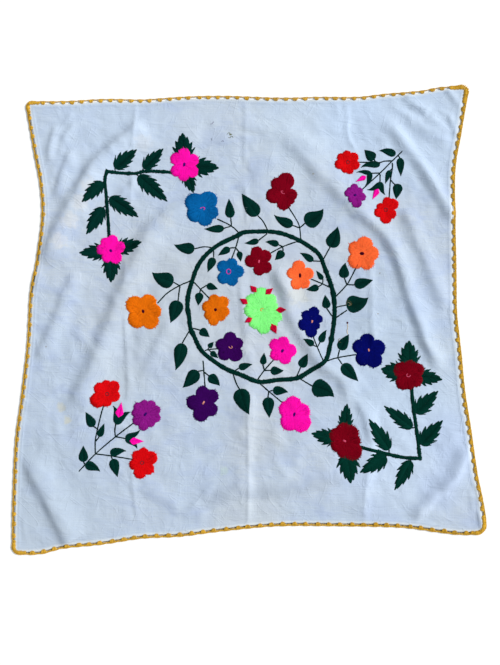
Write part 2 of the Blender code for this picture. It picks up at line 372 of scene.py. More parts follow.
total = sum(rise_along(map_points, *fold) for fold in FOLDS)
raised = np.maximum(total - FOLD_FLOOR, 0.0)
lift = raised**2 / (raised + FOLD_FOOT)
for height, steep, long, fade, points in WRINKLES:
    lift += rise_along(map_points, height, steep, long, fade, fade, points)

BROAD_CRUMPLE, FINE_CRUMPLE = 1.7, 1.3
CRUMPLE_LIFT = 0.9
CALM_EDGE = 80.0
crumple = np.array([
    BROAD_CRUMPLE * noise.fractal(Vector((x / 80.0, y / 80.0, 4.7)), 1.0, 2.0, 3)
    + FINE_CRUMPLE * noise.fractal(Vector(((x + 0.5 * y) / 30.0, (y - 0.2 * x) / 48.0, 9.1)), 1.0, 2.0, 2)
    for x, y in map_points
])
room = np.min([
    map_points[:, 0] - np.interp(map_points[:, 1], *np.array(LEFT_SIDE).T[::-1]),
    np.interp(map_points[:, 1], *np.array(RIGHT_SIDE).T[::-1]) - map_points[:, 0],
    map_points[:, 1] - np.interp(map_points[:, 0], *np.array(BOTTOM_SIDE).T),
    np.interp(map_points[:, 0], *np.array(TOP_SIDE).T) - map_points[:, 1],
], axis=0)
lift += np.maximum(crumple + CRUMPLE_LIFT, 0.0) * (0.15 + 0.85 * ease(room / CALM_EDGE))
lift_map = np.maximum(lift, 0.0).reshape(len(map_y), len(map_x))


def lift_at(xy):
    """Height of the cloth's underside over the table, in mm."""
    fx = np.clip((xy[..., 0] - map_x[0]) / MAP_STEP, 0, len(map_x) - 1.001)
    fy = np.clip((xy[..., 1] - map_y[0]) / MAP_STEP, 0, len(map_y) - 1.001)
    i, j = fx.astype(int), fy.astype(int)
    tx, ty = fx - i, fy - j
    low = lift_map[j, i] * (1 - tx) + lift_map[j, i + 1] * tx
    high = lift_map[j + 1, i] * (1 - tx) + lift_map[j + 1, i + 1] * tx
    return low * (1 - ty) + high * ty


print("lift in mm: mean", round(float(lift_map.mean()), 2), "most", round(float(lift_map.max()), 2))

# %% [markdown]
# ## The cloth
# The sheet is a grid drawn between the four side lines (a Coons patch). Such a grid follows the weave, as
# the real threads run from side to side. Its lines are closer together at the hem and at the old fold
# lines, where the shape changes over a few millimetres. Top and underside are both made, so that the cloth
# has an edge to look at.

# %% Grid positions from side to side
CLOTH_THICKNESS = 0.55
FLAT_SIDE = 1000.0
HEM_WIDTH = 10.0
HEM_RISE = 0.50
HEM_LINES = [0.0, 1.0, 2.6, 5.0, 7.6, 9.2, 10.2, 11.6]


def grid_stations(wide_step, close_ranges):
    """Grid positions from 0 to 1, close at the hem and in the given ranges (low, high, step)."""
    at_hem = [d / FLAT_SIDE for d in HEM_LINES]
    at = list(at_hem)
    while at[-1] < 1.0 - at_hem[-1] - wide_step:
        steps = [step for low, high, step in close_ranges if low < at[-1] < high]
        at.append(at[-1] + (min(steps) if steps else wide_step))
    return np.array(at + [1.0 - share for share in reversed(at_hem)])


across_stations = grid_stations(0.0063, [
    (0.0, 0.10, 0.0042), (0.205, 0.262, 0.0027), (0.475, 0.53, 0.0027), (0.728, 0.79, 0.0027),
    (0.86, 1.0, 0.0038),
])
up_stations = grid_stations(0.0057, [(0.32, 0.35, 0.003), (0.87, 1.0, 0.0038)])
print("grid lines:", len(across_stations), "across,", len(up_stations), "up")

# %% Place a grid position on the laid cloth
# Radius in mm of each corner, given as (right, top).
CORNER_ROUNDING = {(0, 0): 9.0, (1, 0): 16.0, (1, 1): 9.0, (0, 1): 7.0}
SIDE_POINTS = 400
side_share = np.linspace(0.0, 1.0, SIDE_POINTS)
top_line, bottom_line, left_line, right_line = (smooth_line(side, SIDE_POINTS) for side in SIDES)


def on_cloth(u, v):
    """Places in mm of grid positions, u across and v up, with the corners rounded."""
    u, v = np.array(u, dtype=float), np.array(v, dtype=float)
    for (right, top), radius in CORNER_ROUNDING.items():
        r = radius / FLAT_SIDE
        a = r - (1.0 - u if right else u)
        b = r - (1.0 - v if top else v)
        inside = (a > 0) & (b > 0)
        shrink = np.where(inside, np.maximum(a, b) / np.maximum(np.hypot(a, b), 1e-9), 1.0)
        new_a, new_b = r - a * shrink, r - b * shrink
        u = np.where(inside, 1.0 - new_a if right else new_a, u)
        v = np.where(inside, 1.0 - new_b if top else new_b, v)
    uu, vv = u[:, None], v[:, None]
    ruled_up = (1 - vv) * walk(u, side_share, bottom_line) + vv * walk(u, side_share, top_line)
    ruled_across = (1 - uu) * walk(v, side_share, left_line) + uu * walk(v, side_share, right_line)
    flat = ((1 - uu) * (1 - vv) * bottom_line[0] + uu * (1 - vv) * bottom_line[-1]
            + (1 - uu) * vv * top_line[0] + uu * vv * top_line[-1])
    return ruled_up + ruled_across - flat


# %% Build the sheet with its hem
def make_object(name, verts_mm, faces):
    """A smooth-shaded piece from points in mm."""
    mesh = bpy.data.meshes.new(name)
    mesh.from_pydata((np.asarray(verts_mm) * MM).tolist(), [], faces)
    mesh.update()
    mesh.polygons.foreach_set("use_smooth", np.ones(len(mesh.polygons), dtype=bool))
    return add_object(name, mesh)


def keep_values(piece, name, values):
    """Store a number for each point of a piece, which its finish can read."""
    attribute = piece.data.attributes.new(name, "FLOAT", "POINT")
    attribute.data.foreach_set("value", values.astype(np.float32))


def grid_faces(rows, cols):
    """Faces of a grid whose points are numbered row by row."""
    faces = []
    for r in range(rows - 1):
        for a in range(r * cols, r * cols + cols - 1):
            faces.append((a, a + 1, a + cols + 1, a + cols))
    return faces


def hem_relief(from_edge):
    """Extra height of the doubled cloth along the edge, in mm."""
    doubled = ease((HEM_WIDTH + 0.8 - from_edge) / 1.2)
    rounded_edge = 1.0 - ease(from_edge / 1.2)
    return HEM_RISE * doubled - 0.5 * HEM_RISE * rounded_edge


u_grid, v_grid = [g.ravel() for g in np.meshgrid(across_stations, up_stations)]
cloth_xy = on_cloth(u_grid, v_grid)
from_edge = FLAT_SIDE * np.minimum(np.minimum(u_grid, 1 - u_grid), np.minimum(v_grid, 1 - v_grid))
under = lift_at(cloth_xy)
upper = under + CLOTH_THICKNESS + hem_relief(from_edge)

rows, cols = len(up_stations), len(across_stations)
count = rows * cols
top_faces = grid_faces(rows, cols)
under_faces = [tuple(i + count for i in reversed(f)) for f in top_faces]
# Points round the edge, so that a wall of faces can close the gap between top and underside.
edge = (list(range(0, cols)) + list(range(2 * cols - 1, count, cols))
        + list(range(count - 2, count - cols - 1, -1)) + list(range(count - 2 * cols, 0, -cols)))
wall_faces = [(a + count, b + count, b, a) for a, b in zip(edge, edge[1:] + edge[:1])]
cloth = make_object(
    "cloth", np.vstack([np.column_stack([cloth_xy, upper]), np.column_stack([cloth_xy, under])]),
    top_faces + under_faces + wall_faces,
)
keep_values(cloth, "hem", np.tile(1.0 - ease((from_edge - 2.0) / 5.0), 2))
print("cloth:", 2 * len(cloth.data.polygons), "triangles")


def cloth_top(xy):
    """Height in mm of the upper face of the cloth, where the stitches lie."""
    return lift_at(xy) + CLOTH_THICKNESS


# %% [markdown]
# ### Cotton
# Plain cotton is a grid of threads about half a millimetre apart, and some threads are thicker than others
# (slubs), which draws faint lines both ways. Under a blue sky white cotton looks slightly blue. Small
# crumples, too fine for the grid, catch the light. Worn cotton also has soft yellowish stains and a few
# specks, each at its own place.
#
# Light and shade over wide areas are painted into the cotton too: wide spots make it lighter, darker,
# warmer and bluer, and a row of grey spots along an old fold near the lower edge is painted shade. These
# areas are wide and have no edge, so each is a large round spot that fades out slowly. A stain is the same
# kind of spot, only small, and a little noise in its place makes it ragged. Four warm spots in the list of
# stains lie along the lit side of the large upper left fold: they are painted highlight. The hem is painted
# lighter too, as painted highlight.
#
# An image of cloth would be quick, but it would repeat. Waves and stretched noise have no size limit and no
# seams.

# %% Helpers for finishes
def linear(colour):
    """A colour as seen on a screen, from 0 to 255, as the linear numbers that a shader takes."""
    c = np.asarray(colour, dtype=float) / 255.0
    return tuple(np.where(c <= 0.04045, c / 12.92, ((c + 0.055) / 1.055) ** 2.4))


class Finish:
    """A material whose nodes are added in short lines."""

    def __init__(self, name, roughness):
        self.material = bpy.data.materials.new(name)
        self.material.use_nodes = True
        self.tree = self.material.node_tree
        self.shader = self.tree.nodes["Principled BSDF"]
        self.shader.inputs["Roughness"].default_value = roughness
        self.shader.inputs["Specular IOR Level"].default_value = 0.2

    def feed(self, socket, value):
        """Link another node's output to a socket, or set the socket to a number or a colour."""
        if isinstance(value, bpy.types.NodeSocket):
            self.tree.links.new(value, socket)
        else:
            socket.default_value = value

    def add(self, kind, settings=(), inputs=()):
        """A new node with its settings and the values of its inputs."""
        node = self.tree.nodes.new(kind)
        for name, value in dict(settings).items():
            setattr(node, name, value)
        for name, value in dict(inputs).items():
            self.feed(node.inputs[name], value)
        return node

    def place(self):
        """Place on the piece in metres, so that a pattern keeps its size."""
        return self.add("ShaderNodeTexCoord").outputs["Object"]

    def stored(self, name):
        """Number that each point of the piece keeps under a name."""
        return self.add("ShaderNodeAttribute", {"attribute_name": name}).outputs["Fac"]

    def math(self, operation, a, b=0.0, c=0.0):
        return self.add("ShaderNodeMath", {"operation": operation}, {0: a, 1: b, 2: c}).outputs[0]

    def vector(self, operation, a, b):
        """Vector arithmetic. A distance comes out as a number, anything else as a vector."""
        node = self.add("ShaderNodeVectorMath", {"operation": operation}, {0: a, 1: b})
        return node.outputs[1 if operation == "DISTANCE" else 0]

    def remap(self, value, low, high, to_low, to_high, kind="LINEAR"):
        """Stretch the range from low to high onto another range, and hold its ends outside it."""
        inputs = {0: value, 1: low, 2: high, 3: to_low, 4: to_high}
        return self.add("ShaderNodeMapRange", {"interpolation_type": kind}, inputs).outputs[0]

    def noise(self, vector, scale, detail=2.0, distortion=0.0):
        inputs = {"Vector": vector, "Scale": scale, "Detail": detail, "Distortion": distortion}
        return self.add("ShaderNodeTexNoise", {}, inputs).outputs[0]

    def stretch(self, vector, scale):
        return self.add("ShaderNodeMapping", {}, {"Vector": vector, "Scale": scale}).outputs[0]

    def blend(self, share, first, second):
        """Mix of two colours, each a tuple or another node's output."""
        node = self.add("ShaderNodeMix", {"data_type": "RGBA"}, {0: share})
        for socket, value in ((6, first), (7, second)):
            self.feed(node.inputs[socket], (*value, 1.0) if isinstance(value, tuple) else value)
        return node.outputs[2]

    def bump(self, height, distance, strength=1.0, under=None):
        inputs = {"Height": height, "Distance": distance, "Strength": strength}
        if under is not None:
            inputs["Normal"] = under
        return self.add("ShaderNodeBump", {}, inputs).outputs[0]

    def wire(self, output, socket):
        self.tree.links.new(output, self.shader.inputs[socket])


# %% Cotton colour, slubs and stains
COTTON = (0.471, 0.556, 0.667)
COTTON_WARM = (0.542, 0.581, 0.618)
COTTON_SHADE = (0.397, 0.480, 0.655)
# Painted highlight: the colour that the cotton takes along the hem.
HEM_PAINTED_HIGHLIGHT = (0.665, 0.712, 0.742)
# Stains and specks, and four spots of painted highlight: place across and up in mm, size in mm, strength,
# colour as seen.
STAINS_AND_PAINTED_HIGHLIGHTS = [
    (-43, 408, 3.4, 0.75, (120, 120, 60)),
    (145, 315, 3.2, 0.55, (150, 145, 120)),
    (293, 89, 2.6, 0.60, (120, 110, 90)),
    (287, -3, 2.4, 0.55, (130, 110, 80)),
    (-448, -76, 2.4, 0.60, (120, 110, 100)),
    (-412, -210, 14.0, 0.35, (205, 195, 150)),
    (-398, -236, 11.0, 0.40, (200, 190, 145)),
    (-184, 205, 26.0, 0.12, (212, 205, 178)),
    (-388, -263, 12.0, 0.16, (120, 125, 140)),
    (-54, -346, 12.0, 0.22, (190, 215, 170)),
    (109, 39, 30.0, 0.18, (214, 206, 170)),
    (60, 250, 30.0, 0.12, (214, 206, 185)),
    (-240, 388, 26.0, 0.14, (224, 212, 196)),
    # Painted highlight: the next four spots are warm light along the lit side of the large upper left fold.
    (-358, 286, 24.0, 0.20, (224, 212, 190)),
    (-380, 250, 26.0, 0.22, (224, 212, 190)),
    (-402, 208, 26.0, 0.22, (224, 212, 190)),
    (-426, 162, 24.0, 0.20, (224, 212, 190)),
]

# Broad painted light and shade, lighter, darker, warmer and bluer: place across and up in mm, reach in mm,
# strength, cotton colour.
BROAD_PAINTED_LIGHT_AND_SHADE = [
    (10, 40, 260.0, 0.38, (0.545, 0.574, 0.606)),
    (-190, 20, 210.0, 0.50, (0.452, 0.506, 0.566)),
    (360, -280, 230.0, 0.80, (0.525, 0.632, 0.795)),
    (350, 430, 230.0, 0.65, (0.500, 0.620, 0.790)),
    (110, 440, 170.0, 0.55, (0.526, 0.628, 0.758)),
    (-340, 380, 225.0, 0.50, (0.492, 0.598, 0.750)),
    (-460, -440, 240.0, 0.60, (0.415, 0.496, 0.600)),
    (320, -110, 240.0, 0.45, (0.458, 0.570, 0.714)),
    (0, -470, 130.0, 0.50, (0.538, 0.575, 0.597)),
    (438, -272, 80.0, 0.60, (0.432, 0.530, 0.725)),
    (452, -330, 62.0, 0.50, (0.432, 0.530, 0.725)),
    (412, -384, 64.0, 0.55, (0.415, 0.505, 0.695)),
    (235, 455, 110.0, 0.65, (0.490, 0.610, 0.800)),
    (20, -270, 90.0, 0.45, (0.478, 0.522, 0.565)),
    (-286, -138, 95.0, 0.40, (0.485, 0.540, 0.590)),
    (125, 75, 75.0, 0.40, (0.475, 0.508, 0.540)),
    (130, 300, 90.0, 0.35, (0.535, 0.615, 0.720)),
    (130, -215, 100.0, 0.45, (0.425, 0.515, 0.665)),
    (225, -355, 75.0, 0.45, (0.515, 0.620, 0.810)),
    (420, 20, 95.0, 0.40, (0.455, 0.555, 0.740)),
    (227, 150, 60.0, 0.40, (0.505, 0.550, 0.600)),
    (-110, 445, 80.0, 0.40, (0.550, 0.630, 0.735)),
]
# Painted shade: small darker, greyer spots in a row follow the old fold near the lower edge.
PAINTED_FOLD_SHADE_BAND = [(-90, -412), (-40, -393), (60, -390), (185, -366)]
PAINTED_FOLD_SHADE = (0.395, 0.462, 0.565)
BROAD_PAINTED_LIGHT_AND_SHADE += [(across, up, 27.0, 0.45, PAINTED_FOLD_SHADE) for across, up in smooth_line(PAINTED_FOLD_SHADE_BAND, 10)]
# A spot has its full strength within this share of its reach.
SPOT_CORE = 0.35

cotton = Finish("white_cotton", 0.92)
cotton.shader.inputs["Sheen Weight"].default_value = 0.15
cotton.shader.inputs["Sheen Roughness"].default_value = 0.6
place = cotton.place()
broad = cotton.noise(place, 3.2, 3.0, 0.4)
cloudy = cotton.noise(cotton.stretch(place, (15.0, 24.0, 1.0)), 1.0, 4.0, 0.8)
colour = cotton.blend(cotton.remap(broad, 0.42, 0.68, 0.0, 0.7), COTTON, COTTON_WARM)
colour = cotton.blend(cotton.remap(cloudy, 0.46, 0.72, 0.0, 0.9), colour, COTTON_SHADE)
weft_slubs = cotton.noise(cotton.stretch(place, (26.0, 560.0, 1.0)), 1.0, 3.0)
warp_slubs = cotton.noise(cotton.stretch(place, (640.0, 22.0, 1.0)), 1.0, 3.0)
slubs = cotton.math("MULTIPLY_ADD", warp_slubs, 0.5, weft_slubs)
colour = cotton.blend(cotton.remap(slubs, 0.60, 1.0, 0.0, 0.6), colour, COTTON_SHADE)


def share_of_spot(spot, across, up, reach, strength):
    """Strength of a spot at each point: full in its core, then fading to nothing."""
    level = cotton.vector("MULTIPLY", spot, (1.0, 1.0, 0.0))
    gap = cotton.vector("DISTANCE", level, (across * MM, up * MM, 0.0))
    return cotton.remap(gap, reach * MM, reach * SPOT_CORE * MM, 0.0, strength, "SMOOTHSTEP")


# Painted light and shade: each broad spot tints the cotton towards its colour.
for across, up, reach, strength, painted_tone in BROAD_PAINTED_LIGHT_AND_SHADE:
    colour = cotton.blend(share_of_spot(place, across, up, reach, strength), colour, painted_tone)
# Painted highlight: the cotton is painted lighter along the hem.
colour = cotton.blend(cotton.math("MULTIPLY", cotton.stored("hem"), 0.78), colour, HEM_PAINTED_HIGHLIGHT)
ragged = cotton.vector("SUBTRACT", cotton.noise(place, 90.0, 3.0).node.outputs["Color"], (0.5, 0.5, 0.5))
for across, up, size, strength, seen in STAINS_AND_PAINTED_HIGHLIGHTS:
    wander = cotton.vector("MULTIPLY", ragged, (size * 1.4 * MM,) * 3)
    spot = cotton.vector("ADD", place, wander)
    colour = cotton.blend(share_of_spot(spot, across, up, size, strength), colour, linear(seen))
cotton.wire(colour, "Base Color")
print("cotton with", len(STAINS_AND_PAINTED_HIGHLIGHTS), "stains and specks and", len(BROAD_PAINTED_LIGHT_AND_SHADE), "broad faint spots")

# %% Cotton weave and small crumples
THREAD_SPACING = 0.52


def thread_wave(direction):
    """Bands as wide as a thread. The wave node sets its bands pi / (10 * scale) apart."""
    bands = {"wave_type": "BANDS", "bands_direction": direction, "wave_profile": "SIN"}
    scale = math.pi / (10.0 * THREAD_SPACING * MM)
    inputs = {"Vector": place, "Scale": scale, "Distortion": 0.4, "Detail": 1.0}
    return cotton.add("ShaderNodeTexWave", bands, inputs).outputs[1]


def hairlines(degrees, length, apart, width):
    """Thin broken creases in one direction: where a stretched noise crosses its middle value."""
    inputs = {"Vector": place, "Angle": math.radians(-degrees)}
    turned = cotton.add("ShaderNodeVectorRotate", {"rotation_type": "Z_AXIS"}, inputs).outputs[0]
    stretched = cotton.stretch(turned, (1.0 / MM / length, 1.0 / MM / apart, 1.0))
    drawn = cotton.noise(stretched, 1.0, 1.0, 0.3)
    off = cotton.math("ABSOLUTE", cotton.math("SUBTRACT", drawn, 0.5))
    line = cotton.remap(off, 0.0, width, 1.0, 0.0, "SMOOTHSTEP")
    broken = cotton.noise(turned, 26.0, 1.0, degrees / 50.0)
    return cotton.math("MULTIPLY", line, cotton.remap(broken, 0.50, 0.60, 0.0, 1.0))


weave = cotton.math("ADD", thread_wave("X"), thread_wave("Y"))
# Direction in degrees, length and distance apart in mm, and width as a share of the noise.
HAIRLINES = [(-38.0, 120.0, 26.0, 0.030), (72.0, 130.0, 30.0, 0.028), (4.0, 150.0, 24.0, 0.026)]
first, second, third = (hairlines(*row) for row in HAIRLINES)
creases = cotton.math("ADD", cotton.math("ADD", first, second), third)
fine_crumples = cotton.noise(place, 24.0, 3.5, 0.8)
pulled_crumples = cotton.noise(cotton.stretch(place, (9.0, 24.0, 1.0)), 1.0, 2.0, 1.4)
# What is raised, by how many mm and how strongly.
RELIEF = [
    (fine_crumples, 1.7, 1.0), (pulled_crumples, 2.6, 1.0), (creases, 0.26, 1.0), (slubs, 0.46, 1.0),
    (weave, 0.05, 0.8),
]
normal = None
for height, raised_by, strength in RELIEF:
    normal = cotton.bump(height, raised_by * MM, strength, normal)
cotton.wire(normal, "Normal")
cloth.data.materials.append(cotton.material)
print("threads every", THREAD_SPACING, "mm")

# %% [markdown]
# ## Yarn
# Everything else is yarn: the crochet and every stitch. A strand is a short soft rod, thick in the middle
# and thin at both ends, where it dives into the cloth. Thousands of them are needed, so they can't be made
# one at a time. One function lays rings of points round all the strands at once and joins them with the
# same pattern of faces. Each strand also keeps a random tone and the turns of its twist as attributes,
# which the finish reads. Strands that should look shaded get a lower tone: painted shade.

# %% Build many strands at once
TWIST_LENGTH = 2.1


def strand_mesh(paths, half_widths, half_heights, sides, tone_and_painted_shade=0.0):
    """Closed strands in mm. Each path is a row of stations, and its first and last are the thin ends."""
    paths = np.asarray(paths, dtype=float)
    number, stations = paths.shape[:2]
    tangent = np.gradient(paths, axis=1)
    tangent /= np.linalg.norm(tangent, axis=2, keepdims=True) + 1e-9
    side = np.cross(tangent, np.array([0.0, 0.0, 1.0]))
    side /= np.linalg.norm(side, axis=2, keepdims=True) + 1e-9
    over = np.cross(side, tangent)
    turn = -np.pi / 2 + np.pi / sides + np.arange(sides) * 2 * np.pi / sides
    middle = paths[:, 1:-1, None, :]
    wide = side[:, 1:-1, None, :] * (np.cos(turn) * half_widths[:, :, None])[..., None]
    tall = over[:, 1:-1, None, :] * (np.sin(turn) * half_heights[:, :, None])[..., None]
    rings = (middle + wide + tall).reshape(number, -1, 3)
    verts = np.concatenate([paths[:, :1], rings, paths[:, -1:]], axis=1)
    per = verts.shape[1]
    pattern = []
    for k in range(sides):
        n = (k + 1) % sides
        pattern.append((0, 1 + n, 1 + k, 1 + k))
        for s in range(stations - 3):
            a = 1 + s * sides
            pattern.append((a + k, a + n, a + sides + n, a + sides + k))
        a = 1 + (stations - 3) * sides
        pattern.append((a + k, a + n, per - 1, per - 1))
    pattern = np.array(pattern)
    faces = pattern[None] + (np.arange(number) * per)[:, None, None]
    steps = np.linalg.norm(np.diff(paths, axis=1), axis=2)
    twist = np.concatenate([np.zeros((number, 1)), np.cumsum(steps, axis=1)], axis=1) / TWIST_LENGTH
    turns = (twist[:, 1:-1, None] + np.arange(sides) / sides).reshape(number, -1)
    turns = np.concatenate([twist[:, :1], turns, twist[:, -1:]], axis=1)
    # Painted shade: strands meant to look shaded get their random tone lowered by the given amount.
    tone = np.repeat(rng.random(number)[:, None] - tone_and_painted_shade, per, axis=1)
    return verts.reshape(-1, 3), faces.reshape(-1, 4), tone.ravel(), turns.ravel()


class YarnWork:
    """Strands and padding of one yarn, gathered until they become one piece."""

    def __init__(self):
        self.verts, self.faces, self.tone, self.turns, self.count = [], [], [], [], 0

    def take(self, verts, faces, tone, turns):
        """Add faces of four corners each; where the last two are the same, the face is a triangle."""
        self.verts.append(verts)
        self.faces += [f[:3] if f[2] == f[3] else f for f in (np.asarray(faces) + self.count).tolist()]
        self.tone.append(tone)
        self.turns.append(turns)
        self.count += len(verts)

    def strands(self, paths, half_widths, half_heights, sides, tone_and_painted_shade=0.0):
        self.take(*strand_mesh(paths, half_widths, half_heights, sides, tone_and_painted_shade))

    def piece(self, name, finish):
        made = make_object(name, np.vstack(self.verts), self.faces)
        keep_values(made, "tone", np.concatenate(self.tone))
        keep_values(made, "twist", np.concatenate(self.turns))
        made.data.materials.append(finish)
        triangles = sum(len(p.vertices) - 2 for p in made.data.polygons)
        print(name, "-", triangles, "triangles")
        return made


# %% Finish of a yarn
def yarn_finish(name, seen, spread=0.16, ply=0.06):
    """Matt yarn of a colour as seen: each strand has its own tone, and its twist and fibres are raised."""
    base = np.array(linear(seen))
    yarn = Finish(name, 0.9)
    yarn.shader.inputs["Specular IOR Level"].default_value = 0.04
    fibres = yarn.noise(yarn.place(), 1500.0, 2.0)
    wave = yarn.math("SINE", yarn.math("MULTIPLY", yarn.stored("twist"), 2 * math.pi))
    tone_and_painted_shade = yarn.math("MULTIPLY_ADD", wave, 0.10, yarn.stored("tone"))
    tone_and_painted_shade = yarn.math("MULTIPLY_ADD", fibres, 0.35, tone_and_painted_shade)
    ramp = yarn.add("ShaderNodeValToRGB", {}, {0: yarn.remap(tone_and_painted_shade, -1.0, 1.4, 0.0, 1.0)})
    stops = ramp.color_ramp.elements
    stops.new(0.42)
    # The first stop, at 0.18 of the colour, is painted shade: only strands whose tone is lowered reach it.
    for stop, times in zip(stops, (0.18, 1.0 - spread, 1.0 + 0.5 * spread)):
        stop.color = (*np.clip(base * times, 0, 1), 1.0)
    yarn.wire(ramp.outputs[0], "Base Color")
    normal = yarn.bump(wave, ply * MM, 0.8)
    yarn.wire(yarn.bump(fibres, 0.06 * MM, 0.6, under=normal), "Normal")
    return yarn.material


# %% [markdown]
# ## Crochet edging
# The edging is one round of yarn. About every two centimetres the hook goes through the hem, and the
# strands of one shell fan out from that hole, over the edge, to an outer chain. Between two shells the
# chain runs free, which leaves a long narrow slit. At the corners the shells stand side by side.
#
# The shells and the chain could be curves with a round bevel. Rods from the strand builder do the same with
# far fewer faces, and each gets its own slant, as hand work has.

# %% Walk round the edge of the cloth
# For each side: shells, distance of the chain from the hem, plumpness of the links, bulge of the chain at
# each shell, and half width of a shell. Distances are in mm.
SHELLS = {"bottom": 41, "right": 49, "top": 45, "left": 44}
CHAIN_OUT = {"bottom": 5.3, "right": 6.2, "top": 4.9, "left": 5.0}
CHAIN_PLUMP = {"bottom": 0.95, "right": 1.30, "top": 0.70, "left": 0.92}
SCALLOP = {"bottom": 0.55, "right": 0.15, "top": 0.5, "left": 0.45}
SHELL_HALF = {"bottom": 5.2, "right": 6.0, "top": 5.2, "left": 5.2}
EDGE_POINTS = 1200
CORNER_BLEND = 30


def edge_walk():
    """Closed walk round the cloth: place, shell phase and side for each point."""
    t = np.linspace(0.0, 1.0, EDGE_POINTS, endpoint=False)
    zero, one = np.zeros_like(t), np.ones_like(t)
    legs = {"bottom": (t, zero), "right": (one, t), "top": (1 - t, one), "left": (zero, 1 - t)}
    places, phases, names = [], [], []
    for side, (u, v) in legs.items():
        places.append(on_cloth(u, v))
        phases.append(t * SHELLS[side])
        names += [side] * len(t)
    return np.vstack(places), np.concatenate(phases), np.array(names)


edge_place, edge_phase, edge_side = edge_walk()
edge_run = np.r_[0.0, np.cumsum(lengths(np.roll(edge_place, -1, axis=0) - edge_place))]
EDGE_LENGTH = edge_run[-1]


def blended(table):
    """Value of a side at each point of the edge, changing gradually round the corners."""
    values = [table[side] for side in edge_side]
    return np.mean([np.roll(values, k) for k in range(-CORNER_BLEND, CORNER_BLEND + 1)], axis=0)


edge_out, edge_bulge, edge_plump = blended(CHAIN_OUT), blended(SCALLOP), blended(CHAIN_PLUMP)


def walked_to(run):
    """Place on the edge at a distance walked along it."""
    return walk(np.mod(run, EDGE_LENGTH), edge_run, np.vstack([edge_place, edge_place[:1]]))


def on_edge(run):
    """Place and outward direction at a distance walked along the edge."""
    run = np.mod(run, EDGE_LENGTH)
    return walked_to(run), -left_of(unit(walked_to(run + 1.5) - walked_to(run - 1.5)))


def phase_at(run):
    """Shells walked past, within the side that the distance falls on."""
    index = np.searchsorted(edge_run, np.mod(run, EDGE_LENGTH), side="right") - 1
    return edge_phase[np.minimum(index, len(edge_phase) - 1)]


print("edge of the cloth:", round(float(EDGE_LENGTH)), "mm;", sum(SHELLS.values()), "shells")

# %% Outer chain of plump links
LINK_LENGTH = 3.3
golden = YarnWork()
links = int(EDGE_LENGTH / LINK_LENGTH)
link_run = (np.arange(links) + 0.5) * EDGE_LENGTH / links
link_side = edge_side[np.searchsorted(edge_run, link_run, side="right") - 1]


def beside_edge(run, share, aside=0.0):
    """Place outside the hem, at a share of the way to the chain, which bulges at each shell."""
    place, out = on_edge(run)
    reach = np.interp(np.mod(run, EDGE_LENGTH), edge_run[:-1], edge_out)
    bulge = np.interp(np.mod(run, EDGE_LENGTH), edge_run[:-1], edge_bulge)
    bulge = bulge * np.cos(2 * np.pi * (phase_at(run) - 0.5)) * np.clip((share - 0.4) / 0.5, 0.0, 1.0)
    return place + out * (share * reach + bulge + aside)[:, None], out


# A link in five stations: how far along it, how far aside and how high, each as a share.
LINK_STATIONS = (
    (-0.75, 0.15, 0.0), (-0.45, 0.75, 0.65), (0.05, 1.0, 1.0), (0.5, 0.6, 0.7), (0.8, 0.1, 0.0),
)


def chain_row(share, half, radius, lift_over, tone_and_painted_shade, sides, legs=(-1, 1), where=tuple(SHELLS)):
    """A row of links, each of two legs that lean away from each other by half a link's width."""
    at_run = link_run[np.isin(link_side, where)]
    plump = np.interp(at_run, edge_run[:-1], edge_plump)
    for leg in legs:
        path = []
        wobble = rng.normal(0.0, 0.10, len(at_run))
        for at, sideways, up in LINK_STATIONS:
            aside = half * plump * sideways * leg + wobble
            place, _ = beside_edge(at_run + at * LINK_LENGTH, share, aside)
            path.append(np.column_stack([place, lift_at(place) + lift_over + up * radius]))
        wide = radius * np.outer(plump * (1.0 + rng.normal(0.0, 0.06, len(at_run))), [0.65, 1.0, 0.75])
        golden.strands(np.stack(path, axis=1), wide, wide, sides, tone_and_painted_shade)


chain_row(share=1.0, half=0.75, radius=0.88, lift_over=0.6, tone_and_painted_shade=0.0, sides=6)
print("chain links:", links)

# %% [markdown]
# Under the outer chain lie the back loops of its links, and along the hem runs the yarn of the first round.
# Both sit low, and their yarn is darkened as painted shade, so the slit between the shells looks like a
# dark line. The lower side shows both. On the right only the back loops show, and on the left one dark row
# in the middle of the slit. Along the top the edging is pulled tight: they slip under the hem, and the slit
# shows pale.

# %% Back loops and first round
# Share of the way out, radius, height over the table side of the cloth, painted shade, sides of the cloth.
LOW_ROWS_IN_PAINTED_SHADE = [
    (0.66, 0.85, 0.3, 0.3, ("bottom", "right")),
    (0.28, 0.95, -0.1, 1.7, ("bottom",)),
    (0.54, 1.15, -0.2, 2.0, ("left",)),
]
for share, radius, lift_over, tone_and_painted_shade, where in LOW_ROWS_IN_PAINTED_SHADE:
    chain_row(share, 0.0, radius, lift_over, tone_and_painted_shade, sides=4, legs=(1,), where=where)
print("low rows of yarn:", len(LOW_ROWS_IN_PAINTED_SHADE))

# %% Shells over the hem
SHELL_STRANDS = 5
HOLE_INSIDE = 3.5
HOLE_HALF = 2.7
FOOT_RISE = 0.3
HEAD_RISE = 1.5
# A strand in six stations: share of the way out, and rise in mm over the straight line.
STRAND_STATIONS = ((0.0, -0.7), (0.16, 0.35), (0.40, 0.75), (0.64, 0.70), (0.86, 0.25), (1.0, -0.5))


